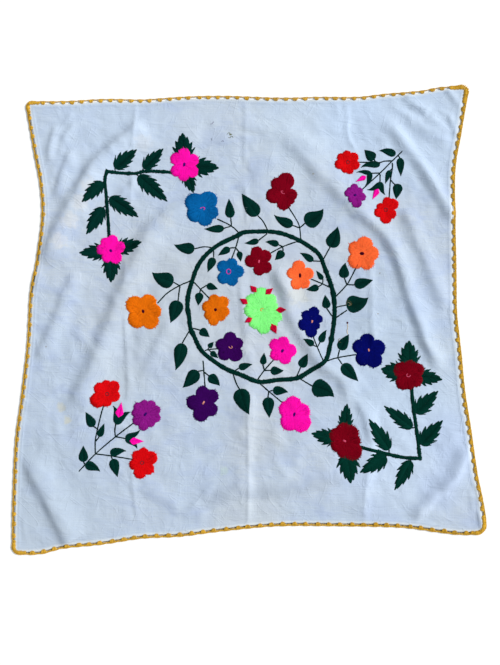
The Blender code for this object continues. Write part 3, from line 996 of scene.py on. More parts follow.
def shell_strands(foot, head_run, head_shift, head_share=0.93):
    """Strands from a hole inside the hem to the chain; head_shift spreads their far ends along it."""
    head, _ = beside_edge(head_run + head_shift, head_share)
    number = len(foot)
    foot_height = lift_at(foot) + CLOTH_THICKNESS + FOOT_RISE
    head_height = lift_at(head) + HEAD_RISE
    path = []
    for share, rise in STRAND_STATIONS:
        place = foot + (head - foot) * share * (1.0 + 0.3 * (share**0.85 - share))
        level = foot_height * (1 - share) + head_height * share
        path.append(np.column_stack([place, level + rise]))
    wide = np.array([0.55, 0.95, 1.12, 1.10]) * (1.0 + rng.normal(0.0, 0.07, number))[:, None]
    golden.strands(np.stack(path, axis=1), wide, wide * 0.9, 5)


shell_runs, shell_half = [], []
for side, shells in SHELLS.items():
    on_side = np.flatnonzero(edge_side == side)
    wanted = np.arange(shells) + 0.5
    shell_runs.append(np.interp(wanted, edge_phase[on_side], edge_run[on_side]))
    shell_half.append(np.full(shells, SHELL_HALF[side]))
shell_runs = np.concatenate(shell_runs)
shell_half = np.concatenate(shell_half) * (1.0 + rng.normal(0.0, 0.11, len(shell_runs)))
shell_runs = shell_runs + rng.normal(0.0, 1.3, len(shell_runs))
shell_depth = HOLE_INSIDE + rng.normal(0.0, 0.5, len(shell_runs))
for k in range(SHELL_STRANDS):
    spread = -1.0 + 2.0 * k / (SHELL_STRANDS - 1)
    place, out = on_edge(shell_runs + spread * HOLE_HALF)
    inside = shell_depth - 1.1 * spread**2 + rng.normal(0.0, 0.25, len(shell_runs))
    shell_strands(place - out * inside[:, None], shell_runs, spread * shell_half)
print("shell strands:", SHELL_STRANDS * len(shell_runs))

# %% Close-set strands round the corners
# How far round a corner they reach, how much deeper they go in, and how far out a second layer ends.
CORNER_WORK = {
    "bottom": (22.0, 0.0, None),
    "right": (24.0, 0.2, None),
    "top": (34.0, 1.4, 1.65),
    "left": (24.0, 0.4, None),
}
CORNER_SPACING = 1.9
for side, (reach, deeper, second) in CORNER_WORK.items():
    corner = edge_run[np.flatnonzero(edge_side == side)[0]]
    runs = corner + np.arange(-reach, reach + 0.1, CORNER_SPACING)
    place, out = on_edge(runs)
    fan = np.abs(np.sin(np.arange(len(runs)) * np.pi / 4.0))
    inside = 1.8 + deeper + 1.6 * fan + rng.normal(0.0, 0.2, len(runs))
    shell_strands(place - out * inside[:, None], runs, rng.normal(0.0, 0.3, len(runs)))
    if second:
        way_out = second - 0.5 * np.abs(runs - corner) / reach
        shell_strands(place + out * 3.0, runs, rng.normal(0.0, 0.4, len(runs)), way_out)

edging = golden.piece("crochet_round", yarn_finish("golden_yarn", (211, 165, 56), spread=0.34, ply=0.16))

# %% [markdown]
# ## Embroidery
# The filled shapes are worked by hand with soft yarn: long stitches fan out from the eye of each flower to
# the edge of each petal, and leaves are filled from the middle line outwards. The stitches lie so close
# that no cloth shows.
#
# A flower could be a flat coloured patch, but its edge would be too clean and the light would slide over
# it. So each shape is two things: a thin padded patch with the outline, and on it the stitches, laid one by
# one at a yarn's spacing, each a little off in length, slant and tone. Everything takes its height from the
# cloth below.

# %% Padding under the stitches
STITCH_SPACING = 0.95
STITCH_WIDTH = 1.2
STITCH_HEIGHT = 0.44
# Heights in mm: how far the padding sinks into the cloth and bulges over its rim, and how far the stitches
# start above its base.
PADDING_DEPTH = 0.15
FLOWER_PADDING = 0.20
STRIP_PADDING = 0.28
FLOWER_STITCHES = 0.18
STRIP_STITCHES = 0.15
PADDING_TONE = 0.35


def slab_on_cloth(work, points, rim, faces, over, rise):
    """A thin closed patch that follows the cloth; rim is True for points on its edge."""
    count = len(points)
    base = cloth_top(points)
    upper = base + over + np.where(rim, 0.02, rise)
    lower = base - PADDING_DEPTH
    verts = np.vstack([np.column_stack([points, upper]), np.column_stack([points, lower])])
    edges = {}
    for face in faces:
        for a, b in zip(face, face[1:] + face[:1]):
            edges[(a, b)] = (b, a) not in edges
            if not edges[(a, b)]:
                edges[(b, a)] = False
    walls = [(b, a, a + count, b + count) for (a, b), open_edge in edges.items() if open_edge]
    below = [tuple(i + count for i in reversed(face)) for face in faces]
    whole = [face if len(face) == 4 else (*face, face[-1]) for face in faces + below + walls]
    work.take(verts, whole, np.full(2 * count, PADDING_TONE), np.zeros(2 * count))


def star_padding(work, middle, directions, rim_reach, over, rings=5):
    """Padding of a shape that is round its middle, as a flower is."""
    around = len(directions)
    shares = np.linspace(0.0, 1.0, rings + 1)[1:]
    spokes = towards(directions)
    points = [np.array([middle])] + [middle + spokes * (rim_reach * s)[:, None] for s in shares]
    faces = [(0, 1 + k, 1 + (k + 1) % around) for k in range(around)]
    for r in range(rings - 1):
        a, b = 1 + r * around, 1 + (r + 1) * around
        faces += [(a + k, b + k, b + (k + 1) % around, a + (k + 1) % around) for k in range(around)]
    points = np.vstack(points)
    rim = np.arange(len(points)) >= 1 + (rings - 1) * around
    slab_on_cloth(work, points, rim, faces, over, FLOWER_PADDING)


def strip_padding(work, line, normals, half, over):
    """Padding along a line, with the same half width to both sides."""
    shares = [1.0, 0.5, 0.0, -0.5, -1.0]
    points = np.stack([line + normals * (half * s)[:, None] for s in shares], axis=1)
    rows, cols = points.shape[:2]
    rim = np.zeros((rows, cols), dtype=bool)
    rim[:, [0, -1]] = True
    rim[[0, -1], :] = True
    slab_on_cloth(work, points.reshape(-1, 2), rim.ravel(), grid_faces(rows, cols), over, STRIP_PADDING)


# %% Stitches from start to end
TAPER = 0.9


def lay_stitches(work, start, end, over, width=STITCH_WIDTH, height=STITCH_HEIGHT, dip=-0.2):
    """Arched stitches between pairs of points on the cloth, thin only in the last mm at each end."""
    start, end = np.asarray(start, dtype=float), np.asarray(end, dtype=float)
    number = len(start)
    along = end - start
    length = lengths(along) + 1e-9
    across = left_of(along) / length[:, None]
    taper = np.clip(TAPER / length, 0.04, 0.3)
    bow = rng.normal(0.0, 0.10, number)
    plump = height * (1.0 + rng.normal(0.0, 0.13, number))
    path = []
    shares = (0.0 * taper, taper, 0.5 + 0.0 * taper, 1.0 - taper, 1.0 + 0.0 * taper)
    for share, rise in zip(shares, (dip, 0.75, 1.0, 0.75, -0.2)):
        place = start + along * share[:, None] + across * (bow * 4 * share * (1 - share))[:, None]
        level = cloth_top(place) + over + plump * (rise - 0.33)
        path.append(np.column_stack([place, level]))
    wide = 0.60 * width * np.array([0.9, 1.0, 0.9]) * (1.0 + rng.normal(0.0, 0.08, number))[:, None]
    tall = np.array([0.66, 0.7, 0.66]) * plump[:, None]
    work.strands(np.stack(path, axis=1), wide, tall, 3)


# %% [markdown]
# ### Flowers
# Each flower has five to nine round petals of unequal size. One row of the table gives its yarn, the place
# of its eye, how full the petals are, and for each petal the direction in degrees and the reach in mm. A
# petal is a circle that just touches its reach, and where two circles meet there is a notch. So one short
# row makes a whole outline.

# %% Table of flowers
# Yarn, eye across and up, fullness, petals (direction, reach), eye (form, yarn, width, height, turn).
CORNER_FLOWERS = [
    # upper left
    ("pink", (-146.8, 337.8), 1.23,
     [(-141, 36), (-92, 38), (-41, 38), (30, 36), (91, 39), (142, 37)],
     ("slit", "dark_violet", 5, 11, -12)),
    ("pink", (-309.8, 139.9), 1.23,
     [(-121, 29), (-54, 33), (24, 34), (82, 36), (123, 34), (172, 33)], ("slit", "dark_violet", 5, 9, 35)),
    # upper right
    ("red", (225.0, 343.2), 1.33,
     [(-164, 32), (-115, 27), (-81, 28), (-20, 28), (42, 29), (95, 28), (142, 29)],
     ("ring", "grey", 9, 10, 0)),
    ("purple", (238.6, 265.2), 1.26,
     [(-131, 21), (-78, 30), (-9, 26), (46, 24), (91, 28), (135, 24), (166, 25)],
     ("slit", "dark_violet", 9, 5, 20)),
    ("red", (309.1, 233.7), 1.33,
     [(-157, 29), (-93, 33), (-36, 27), (38, 34), (75, 30), (151, 23)], ("ring", "grey", 9, 10, 0)),
    # lower left
    ("red", (-311.5, -179.7), 1.33,
     [(-146, 41), (-92, 28), (-18, 29), (49, 34), (97, 31), (143, 33)], ("ring", "grey", 9, 9, 0)),
    ("purple", (-227.4, -224.1), 1.33,
     [(-142, 33), (-98, 36), (-55, 32), (-18, 35), (22, 35), (58, 34), (96, 32), (135, 33), (172, 31)],
     ("slit", "dark_violet", 5, 11, -35)),
    ("red", (-232.9, -328.9), 1.30,
     [(-167, 29), (-101, 35), (-44, 32), (28, 36), (83, 33), (128, 30)], ("ring", "grey", 9, 9, 0)),
    # lower right
    ("deep_red", (351.8, -138.6), 1.60,
     [(-127, 36), (-83, 32), (-33, 35), (31, 38), (75, 34), (144, 36)], ("curl", "pale_pink", 9, 10, 110)),
    ("deep_red", (209.3, -281.9), 1.80,
     [(-150, 33), (-96, 37), (-51, 48), (1, 35), (49, 39), (92, 40), (143, 37)],
     ("slit", "pale_pink", 11, 3.5, -25)),
]
WREATH_FLOWERS = [
    # outside the ring
    ("blue", (-104.2, 235.7), 1.45,
     [(-144, 40), (-78, 40), (-22, 37), (58, 44), (142, 45)], ("curl", "bright_pink", 7, 12, -75)),
    ("dark_red", (76.7, 273.7), 1.30,
     [(-160, 40), (-85, 41), (-46, 35), (-15, 34), (75, 47), (121, 38)], ("curl", "pale_pink", 6, 12, 60)),
    ("coral", (253.8, 133.5), 1.46,
     [(-130, 39), (-63, 39), (1, 38), (73, 40), (141, 35)], ("slit", "dark_wine", 12, 7, 0)),
    ("navy", (265.5, -83.1), 1.36,
     [(-126, 39), (-61, 42), (15, 38), (101, 37), (160, 38)], ("slit", "peach", 3.2, 10, 10)),
    ("pink", (99.7, -224.5), 1.70,
     [(-124, 39), (-49, 44), (19, 36), (97, 40), (143, 38)], ("slit", "dark_violet", 4.5, 11, -15)),
    ("violet", (-99.7, -199.1), 1.23,
     [(-103, 42), (-42, 37), (39, 38), (95, 37), (178, 38)], ("slit", "peach", 3.4, 12, -30)),
    ("amber", (-235.5, 3.3), 1.40,
     [(-127, 42), (-52, 45), (0, 41), (61, 41), (142, 42)], ("slit", "dark_wine", 5, 10, 18)),
    # inside the ring
    ("blue", (-45.5, 92.4), 1.23,
     [(-129, 32), (-68, 34), (2, 35), (67, 32), (136, 31)], ("ring", "bright_pink", 11, 13, 0)),
    ("dark_red", (22.6, 115.2), 1.23,
     [(-88, 32), (-40, 34), (41, 33), (103, 35), (176, 32)], ("slit", "pale_pink", 3.2, 11, -8)),
    ("coral", (114.3, 83.6), 1.17,
     [(-114, 34), (-60, 32), (15, 32), (98, 35), (165, 31)], ("slit", "dark_wine", 5, 12, 0)),
    ("navy", (140.2, -19.9), 1.26,
     [(-159, 33), (-96, 36), (-43, 22), (23, 26), (78, 34), (131, 30)], ("slit", "peach", 3.2, 10, -10)),
    ("pink", (74.3, -84.9), 1.33,
     [(-150, 30), (-70, 31), (3, 32), (85, 32), (139, 34)], ("slit", "dark_violet", 5, 10, -30)),
    ("violet", (-40.6, -76.2), 1.33,
     [(-132, 35), (-57, 36), (28, 30), (93, 34), (166, 34)], ("curl", "peach", 10, 7, 160)),
    ("amber", (-74.3, 6.6), 1.33,
     [(-141, 30), (-101, 36), (-50, 30), (-12, 32), (47, 37), (98, 35), (157, 32)],
     ("slit", "dark_wine", 6, 8, 0)),
    # in the middle
    ("neon_green", (29.1, 6.6), 1.46,
     [(-176, 40), (-117, 46), (-86, 54), (-54, 50), (-26, 48), (15, 37), (50, 43), (92, 50), (138, 45)],
     ("curl", "orange", 9, 7, 20)),
]
FLOWERS = CORNER_FLOWERS + WREATH_FLOWERS
print(len(FLOWERS), "flowers")

# %% Outline of a flower from its petals
def flower_rim(directions, fullness, petals):
    """Distance from the eye to the edge in each direction, and which petal is there."""
    turn = np.radians([p[0] for p in petals])
    reach = np.array([p[1] for p in petals], dtype=float)
    gap_after = np.mod(np.roll(turn, -1) - turn, 2 * np.pi)
    half_gap = np.minimum(0.25 * (gap_after + np.roll(gap_after, 1)), 0.9)
    share = fullness * np.sin(half_gap)
    radius = reach * share / (1.0 + share)
    middle = reach - radius
    off = directions[:, None] - turn[None, :]
    across = middle * np.sin(off)
    inside = radius**2 - across**2
    rim = np.where(inside > 0, middle * np.cos(off) + np.sqrt(np.maximum(inside, 0.0)), 0.0)
    owner = rim.argmax(axis=1)
    return np.maximum(rim.max(axis=1), 0.52 * reach.mean()), owner


def petal_edges(fullness, petals):
    """Direction of the notch after each petal, in radians."""
    notches = []
    for k in range(len(petals)):
        first = math.radians(petals[k][0])
        gap = math.radians((petals[(k + 1) % len(petals)][0] - petals[k][0]) % 360)
        fine = first + np.linspace(0.02, 0.98, 120) * gap
        _, owner = flower_rim(fine, fullness, petals)
        notches.append(fine[np.argmax(owner != k)] if (owner != k).any() else first + gap / 2)
    return notches


# %% Fill a flower
JITTER = 0.09
RIM_JITTER = 0.036
yarns = {}


def work_in(yarn):
    """All the work done so far in one yarn."""
    return yarns.setdefault(yarn, YarnWork())


def rows_of_stitches(reach):
    """Start and end of each row of stitches, as shares of the way from eye to edge."""
    if reach > 26:
        return [(0.03, 0.44), (0.28, 0.74), (0.55, 1.0)]
    return [(0.04, 0.60), (0.40, 1.0)]


def fill_flower(yarn, eye, fullness, petals, over):
    """Padding of a flower, and for each petal two or three rows of stitches that fan out from the eye."""
    work = work_in(yarn)
    eye = np.array(eye)
    around = np.linspace(0.0, 2 * np.pi, 96, endpoint=False)
    rim, _ = flower_rim(around, fullness, petals)
    star_padding(work, eye, around, rim - 0.5, over)
    notches = petal_edges(fullness, petals)
    for k, (turn, reach) in enumerate(petals):
        turn = math.radians(turn)
        before = turn - (turn - notches[k - 1]) % (2 * np.pi)
        after = turn + (notches[k] - turn) % (2 * np.pi)
        for start_share, end_share in rows_of_stitches(reach):
            number = max(3, round((after - before) * end_share * reach * 0.86 / STITCH_SPACING))
            fan = before + (np.arange(number) + 0.5) / number * (after - before)
            fan = fan + rng.normal(0.0, 0.25 / (reach * end_share), number)
            edge, _ = flower_rim(fan, fullness, petals)
            ends = []
            end_jitter = RIM_JITTER if end_share == 1.0 else JITTER
            for share, jitter in ((start_share, JITTER), (end_share, end_jitter)):
                share = share + rng.normal(0.0, jitter, number)
                bent = turn + (fan - turn) * (0.93 + 0.07 * share)
                ends.append(eye + towards(bent) * (edge * share)[:, None])
            lay_stitches(work, ends[0], ends[1], over + FLOWER_STITCHES, dip=0.2)


# %% Eyes of the flowers
def stem_stitch(work, points, over, width=2.6, step=3.6):
    """A line of overlapping short stitches, as stems are worked."""
    total = line_length(smooth_line(points, 60))
    number = max(2, int(total / step))
    line = smooth_line(points, number * 4 + 1)
    starts = line[0:-4:4][:number]
    ends = line[np.minimum(np.arange(number) * 4 + 7, number * 4)]
    across = left_of(ends - starts)
    across /= lengths(across)[:, None] + 1e-9
    shift = across * (0.24 * width)
    lay_stitches(work, starts - shift, ends + shift, over, width, height=0.55)


def work_eye(eye, form, yarn, width, height, turn, over):
    """Eye of a flower: a slit of long stitches, or a ring or curl of stem stitch."""
    work = work_in(yarn)
    turn = math.radians(turn)
    spin = np.array([[math.cos(turn), math.sin(turn)], [-math.sin(turn), math.cos(turn)]])
    eye = np.array(eye)
    if form == "slit":
        long, narrow = max(width, height), min(width, height)
        direction = np.array([0.0, 1.0] if height > width else [1.0, 0.0])
        sideways = direction[::-1]
        for k in np.linspace(-1.0, 1.0, max(2, round(narrow / 1.5))):
            middle = sideways * k * (narrow - 1.6) / 2
            half = direction * long / 2 * (1.0 if abs(k) < 0.5 else 0.72)
            start, end = np.array([middle - half]), np.array([middle + half])
            lay_stitches(work, eye + start @ spin, eye + end @ spin, over, width=1.7, height=0.6)
    else:
        sweep = np.linspace(0.0, 2 * np.pi if form == "ring" else 1.45 * np.pi, 14)
        loop = np.column_stack([np.cos(sweep) * (width - 1.2) / 2, np.sin(sweep) * (height - 1.2) / 2])
        stem_stitch(work, (eye + loop @ spin).tolist(), over, width=1.5, step=1.9)


# The corner flowers lie over their leaves, so they start higher above the cloth. An eye lies on its flower.
EYE_OVER = 0.75
for flowers, over in ((CORNER_FLOWERS, 0.5), (WREATH_FLOWERS, 0.2)):
    for yarn, eye, fullness, petals, eye_row in flowers:
        fill_flower(yarn, eye, fullness, petals, over)
        work_eye(eye, *eye_row, over + EYE_OVER)
print("yarns used so far:", sorted(yarns))

# %% [markdown]
# ### Leaves
# Two kinds of leaf are used. Those of the wreath are plain ovals with a pointed tip, widest near the stalk.
# Those of the two large corner sprays are toothed. Both are filled from the middle line to the edge, and
# the stitches lean towards the tip. On a toothed leaf the ends of the stitches make the teeth, so no tooth
# needs a shape of its own.

# %% Stitches that a flower would hide
def under_flower(points):
    """True for points that lie well inside a flower, where no leaf is worked."""
    hidden = np.zeros(len(points), dtype=bool)
    for _, eye, fullness, petals, _ in FLOWERS:
        away = points - np.array(eye)
        rim, _ = flower_rim(np.arctan2(away[:, 1], away[:, 0]), fullness, petals)
        hidden |= np.hypot(away[:, 0], away[:, 1]) < rim - 4.0
    return hidden


# %% Shape and filling of a leaf
def leaf_outline(share, widest, fullness, pointed=False):
    """Half width along a leaf, from 0 to 1: a round or pointed base, then bulging sides."""
    share = np.clip(share, 0.0, 1.0)
    low = np.minimum(share / widest, 1.0)
    base = low**0.85 if pointed else np.sqrt(1.0 - (1.0 - low) ** 2)
    beyond = np.clip((share - widest) / (1.0 - widest), 0.0, 1.0)
    return np.where(share < widest, base, (1.0 - beyond**fullness) ** 1.05)


def middle_line(base, tip, bow, count):
    """Points and left-hand directions along a leaf's middle, which may curve by a share of its length."""
    base, tip = np.array(base, dtype=float), np.array(tip, dtype=float)
    along = tip - base
    left = np.array([-along[1], along[0]])
    share = np.linspace(0.0, 1.0, count)[:, None]
    points = base + along * share + left * bow * 4 * share * (1 - share) * (0.4 + 0.8 * share)
    return points, left_of(unit(np.gradient(points, axis=0)))


def fill_leaf(
    yarn, base, tip, width, bow=0.0, teeth=0, widest=0.30, fullness=1.6, over=0.10, pointed=False,
):
    """Padding and stitches of a leaf. The outer ends are evenly spaced, so the base fills like a fan."""
    work = work_in(yarn)
    length = math.dist(base, tip)
    at = np.linspace(0.0, 1.0, 60)
    points, left = middle_line(base, tip, bow, len(at))
    rows = np.linspace(0, len(at) - 1, max(8, int(length / 4))).astype(int)
    body = leaf_outline(at[rows], widest, fullness, pointed) * width / 2
    half = np.maximum(body * (0.79 if teeth else 0.92) - 0.2, 0.15)
    strip_padding(work, points[rows], left[rows], half, over)

    def beside(share, aside):
        return walk(share, at, points) + walk(share, at, left) * np.reshape(aside, (-1, 1))

    fine = np.linspace(0.0, 1.0, 300)
    edge = leaf_outline(fine, widest, fullness, pointed) * width / 2
    walked = np.r_[0.0, np.cumsum(np.hypot(np.diff(fine) * length, np.diff(edge)))]
    number = int(walked[-1] / (STITCH_SPACING * 0.92))
    for side in (1, -1):
        run = (np.arange(number) + 0.6) / number
        far = np.interp(run * walked[-1], walked, fine)
        reach = np.interp(far, fine, edge)
        near = np.maximum(far - np.maximum(0.85 * reach, 2.2) / length, 0.02 + 0.04 * rng.random(number))
        if teeth:
            saw = np.mod(run * (teeth + 0.5) + (0.1 if side > 0 else 0.5), 1.0)
            bite = ease(far / 0.30)
            reach = reach * (1.0 + bite * (0.38 * saw - 0.20))
            far = np.minimum(far + 0.04 * saw * bite, 1.0)
        reach = reach * (1.0 + rng.normal(0.0, 0.02, number)) + 0.2
        start = beside(near, -side * 0.8)
        end = beside(far, side * reach)
        shown = ~(under_flower(start) & under_flower(end))
        lay_stitches(work, start[shown], end[shown], over + STRIP_STITCHES)


# %% Leaves of the wreath
# Base, tip, width and, where a leaf curves, its bow: a share of its length, to the left seen from the base.
OUTER_LEAVES = [
    ((-42, 215), (-45, 259), 22), ((-56, 191), (-101, 190), 18, 0.03), ((20, 220), (-16, 271), 33, 0.02),
    ((99, 198), (57, 222), 23, 0.08), ((127, 203), (168, 236), 38, -0.10),
    ((183, 148), (200, 195), 32, -0.04), ((213, 78), (217, 113), 23, 0.06), ((236, 62), (277, 73), 24),
    ((217, 17), (266, 34), 39, -0.12), ((201, -82), (222, -48), 24), ((206, -115), (241, -152), 28),
    ((140, -162), (188, -187), 40, 0.10), ((53, -172), (87, -176), 20, 0.05), ((42, -187), (45, -232), 26),
    ((-21, -169), (1, -224), 37, -0.04), ((-113, -129), (-146, -166), 29, 0.04),
    ((-88, -140), (-64, -162), 22, 0.05), ((-148, -68), (-162, -128), 30, 0.04),
    ((-169, 68), (-217, 91), 36, 0.08), ((-158, 27), (-174, -23), 32, 0.02),
    ((-122, 144), (-168, 154), 26, 0.08),
]
INNER_LEAVES = [
    ((-43, 146), (-69, 129), 16), ((-22, 138), (-18, 115), 14), ((22, 163), (-10, 157), 14, 0.04),
    ((67, 154), (37, 160), 15, -0.04), ((77, 139), (58, 119), 19, 0.05),
    ((144, 117), (114, 135), 16, -0.05), ((165, 75), (151, 95), 12), ((156, 58), (128, 52), 16, 0.04),
    ((174, 10), (170, 40), 19), ((143, -72), (120, -59), 15, -0.04), ((158, -66), (173, -38), 16, 0.04),
    ((115, -121), (130, -91), 21), ((31, -115), (34, -89), 15), ((48, -128), (77, -128), 19, -0.05),
    ((-22, -123), (8, -115), 16, 0.05), ((-89, -77), (-78, -65), 12), ((-84, -87), (-68, -101), 13),
    ((-108, -38), (-87, -54), 19), ((-94, 62), (-69, 53), 16), ((-110, 45), (-113, 16), 19),
    ((-79, 124), (-92, 91), 19),
]
for leaf in OUTER_LEAVES + INNER_LEAVES:
    fill_leaf("dark_green", *leaf)
print(len(OUTER_LEAVES) + len(INNER_LEAVES), "leaves on the wreath")

# %% Leaves of the corner sprays
# Toothed leaves of the two large sprays: base, tip, width, teeth on each side.
UPPER_LEFT_LEAVES = [
    ((-304, 329), (-255, 373), 32, 5), ((-239, 329), (-195, 376), 32, 5), ((-251, 313), (-184, 253), 37, 6),
    ((-330, 297), (-375, 249), 29, 5), ((-315, 262), (-249, 217), 35, 6), ((-329, 239), (-365, 177), 34, 5),
]
LOWER_RIGHT_LEAVES = [
    ((366, -221), (417, -173), 37, 5), ((358, -254), (297, -206), 31, 5), ((376, -290), (425, -237), 37, 5),
    ((307, -301), (262, -234), 35, 5), ((300, -315), (242, -350), 38, 5), ((354, -325), (317, -388), 31, 5),
]
# These six and six grow from behind a flower, so they are wedges, widest where the flower ends.
UPPER_LEFT_WEDGES = [
    ((-147, 354), (-152, 412), 48, 5), ((-128, 334), (-68, 331), 44, 5), ((-142, 320), (-125, 272), 31, 5),
    ((-322, 138), (-381, 135), 37, 5), ((-296, 145), (-239, 158), 37, 5), ((-309, 124), (-308, 68), 40, 5),
]
LOWER_RIGHT_WEDGES = [
    ((354, -116), (355, -62), 46, 5), ((336, -134), (292, -125), 44, 5), ((372, -140), (427, -148), 36, 5),
    ((211, -256), (216, -201), 31, 5), ((189, -278), (137, -266), 36, 5), ((214, -311), (222, -373), 48, 5),
]
# Plain leaves of the two small sprays, in rows like those of the wreath.
UPPER_RIGHT_LEAVES = [
    ((285, 350), (263, 373), 24), ((334, 362), (296, 370), 18, -0.08), ((344, 354), (345, 311), 18),
    ((298, 338), (254, 331), 16, -0.12), ((320, 325), (309, 294), 13), ((339, 294), (333, 258), 22),
]
LOWER_LEFT_LEAVES = [
    ((-341, -251), (-358, -219), 21), ((-328, -273), (-317, -244), 15), ((-361, -327), (-362, -292), 21),
    ((-357, -332), (-324, -348), 20, 0.08), ((-303, -309), (-268, -304), 18, 0.08),
    ((-297, -321), (-286, -360), 22),
]
# Yarn of a group of toothed leaves, where along them they are widest, and their fullness.
TOOTHED_GROUPS = [
    ("spray_green", 0.36, 1.5, UPPER_LEFT_LEAVES),
    ("leaf_green", 0.34, 1.4, LOWER_RIGHT_LEAVES),
    ("spray_green", 0.30, 1.6, UPPER_LEFT_WEDGES),
    ("leaf_green", 0.30, 1.6, LOWER_RIGHT_WEDGES),
]
for leaf in UPPER_RIGHT_LEAVES + LOWER_LEFT_LEAVES:
    fill_leaf("spray_green", *leaf)
for yarn, widest, fullness, leaves in TOOTHED_GROUPS:
    for base, tip, width, teeth in leaves:
        fill_leaf(yarn, base, tip, width, 0.0, teeth, widest, fullness)
print(sum(len(leaves) for *_, leaves in TOOTHED_GROUPS), "toothed leaves")

# %% Buds and the sepals of the green flower
# Rows like those of the leaves. A bud is a pink wedge between two dark green horns, which curve towards it.
BUD_WEDGES = [
    ((-286, -231), (-280, -198), 18), ((-261, -282), (-230, -283), 16), ((266, 311), (242, 298), 12.5),
    ((293, 282), (279, 257), 13.5),
]
BUD_HORNS = [
    ((-288, -246), (-299, -205), 17, -0.10), ((-293, -245), (-259, -219), 18, 0.10),
    ((-270, -275), (-238, -257), 14, -0.12), ((-270, -275), (-244, -299), 16, 0.12),
    ((278, 317), (244, 320), 11, -0.10), ((275, 321), (263, 289), 13, 0.14),
    ((302, 296), (267, 280), 14, 0.12), ((297, 298), (309, 268), 14, -0.10),
]
SEPALS = [
    ((17, 46), (3, 61), 14), ((36, 41), (54, 55), 14), ((-2, 20), (-20, 31), 14), ((60, 6), (83, 6), 14),
    ((8, -12), (-9, -22), 13), ((50, -24), (61, -47), 16),
]
for wedge in BUD_WEDGES:
    fill_leaf("pink", *wedge, widest=0.28, fullness=1.3, over=0.48, pointed=True)
for horn in BUD_HORNS:
    fill_leaf("spray_green", *horn, widest=0.28, over=0.14)
for sepal in SEPALS:
    fill_leaf("crimson", *sepal, widest=0.42, fullness=1.3, over=0.85, pointed=True)
print(len(BUD_WEDGES), "buds and", len(SEPALS), "sepals")

# %% [markdown]
# ### Ring and stems
# The wreath's ring and the stems of the two large sprays are bands of side-by-side stitches, worked
# straight across. All thin stems are single lines of stem stitch: short stitches that overlap by half, like
# a fine rope.

# %% Bands of stitches across
RING = [
    (41, 184), (-9, 182), (-24, 175), (-58, 159), (-80, 145), (-100, 126), (-116, 102), (-127, 71),
    (-135, 42), (-137, 15), (-133, -10), (-130, -34), (-121, -54), (-106, -83), (-81, -105), (-50, -125),
    (-17, -138), (22, -153), (64, -149), (106, -145), (135, -129), (168, -107), (179, -76), (187, -37),
    (191, 2), (189, 39), (183, 64), (170, 101), (157, 132), (132, 152), (108, 166), (74, 179), (41, 184),
]
THICK_STEMS = [
    ("spray_green", 8.2, [(-314, 168), (-322, 260), (-326, 301), (-320, 324)]),
    ("spray_green", 8.2, [(-323, 321), (-274, 318), (-257, 318), (-231, 323), (-169, 320)]),
    ("leaf_green", 8.5, [(358, -162), (362, -213), (369, -271), (374, -323)]),
    ("leaf_green", 8.5, [(377, -320), (333, -317), (283, -305), (234, -293)]),
]
RING_WIDTH = 10.6


def satin_band(yarn, points, width, over=0.10):
    """A band of stitches worked straight across a line, over a padding. Returns the length of the line."""
    work = work_in(yarn)
    length = line_length(smooth_line(points, 200))
    number = int(length / STITCH_SPACING)
    line = smooth_line(points, number)
    run = unit(np.gradient(line, axis=0))
    left = left_of(run)
    rows = np.arange(0, number, 5)
    half = np.full(len(rows), width / 2 - 0.6)
    strip_padding(work, line[rows], left[rows], half, over)
    wander = 0.50 * np.convolve(rng.normal(0.0, 1.0, number + 8), np.ones(9) / 3.0, "valid")
    reach = (width / 2 + wander + rng.normal(0.0, 0.46, number))[:, None]
    slant = run * 1.1
    lay_stitches(work, line - left * reach - slant, line + left * reach + slant, over + STRIP_STITCHES)
    return length


print("ring:", round(satin_band("dark_green", RING, RING_WIDTH)), "mm round")
for yarn, width, points in THICK_STEMS:
    satin_band(yarn, points, width)

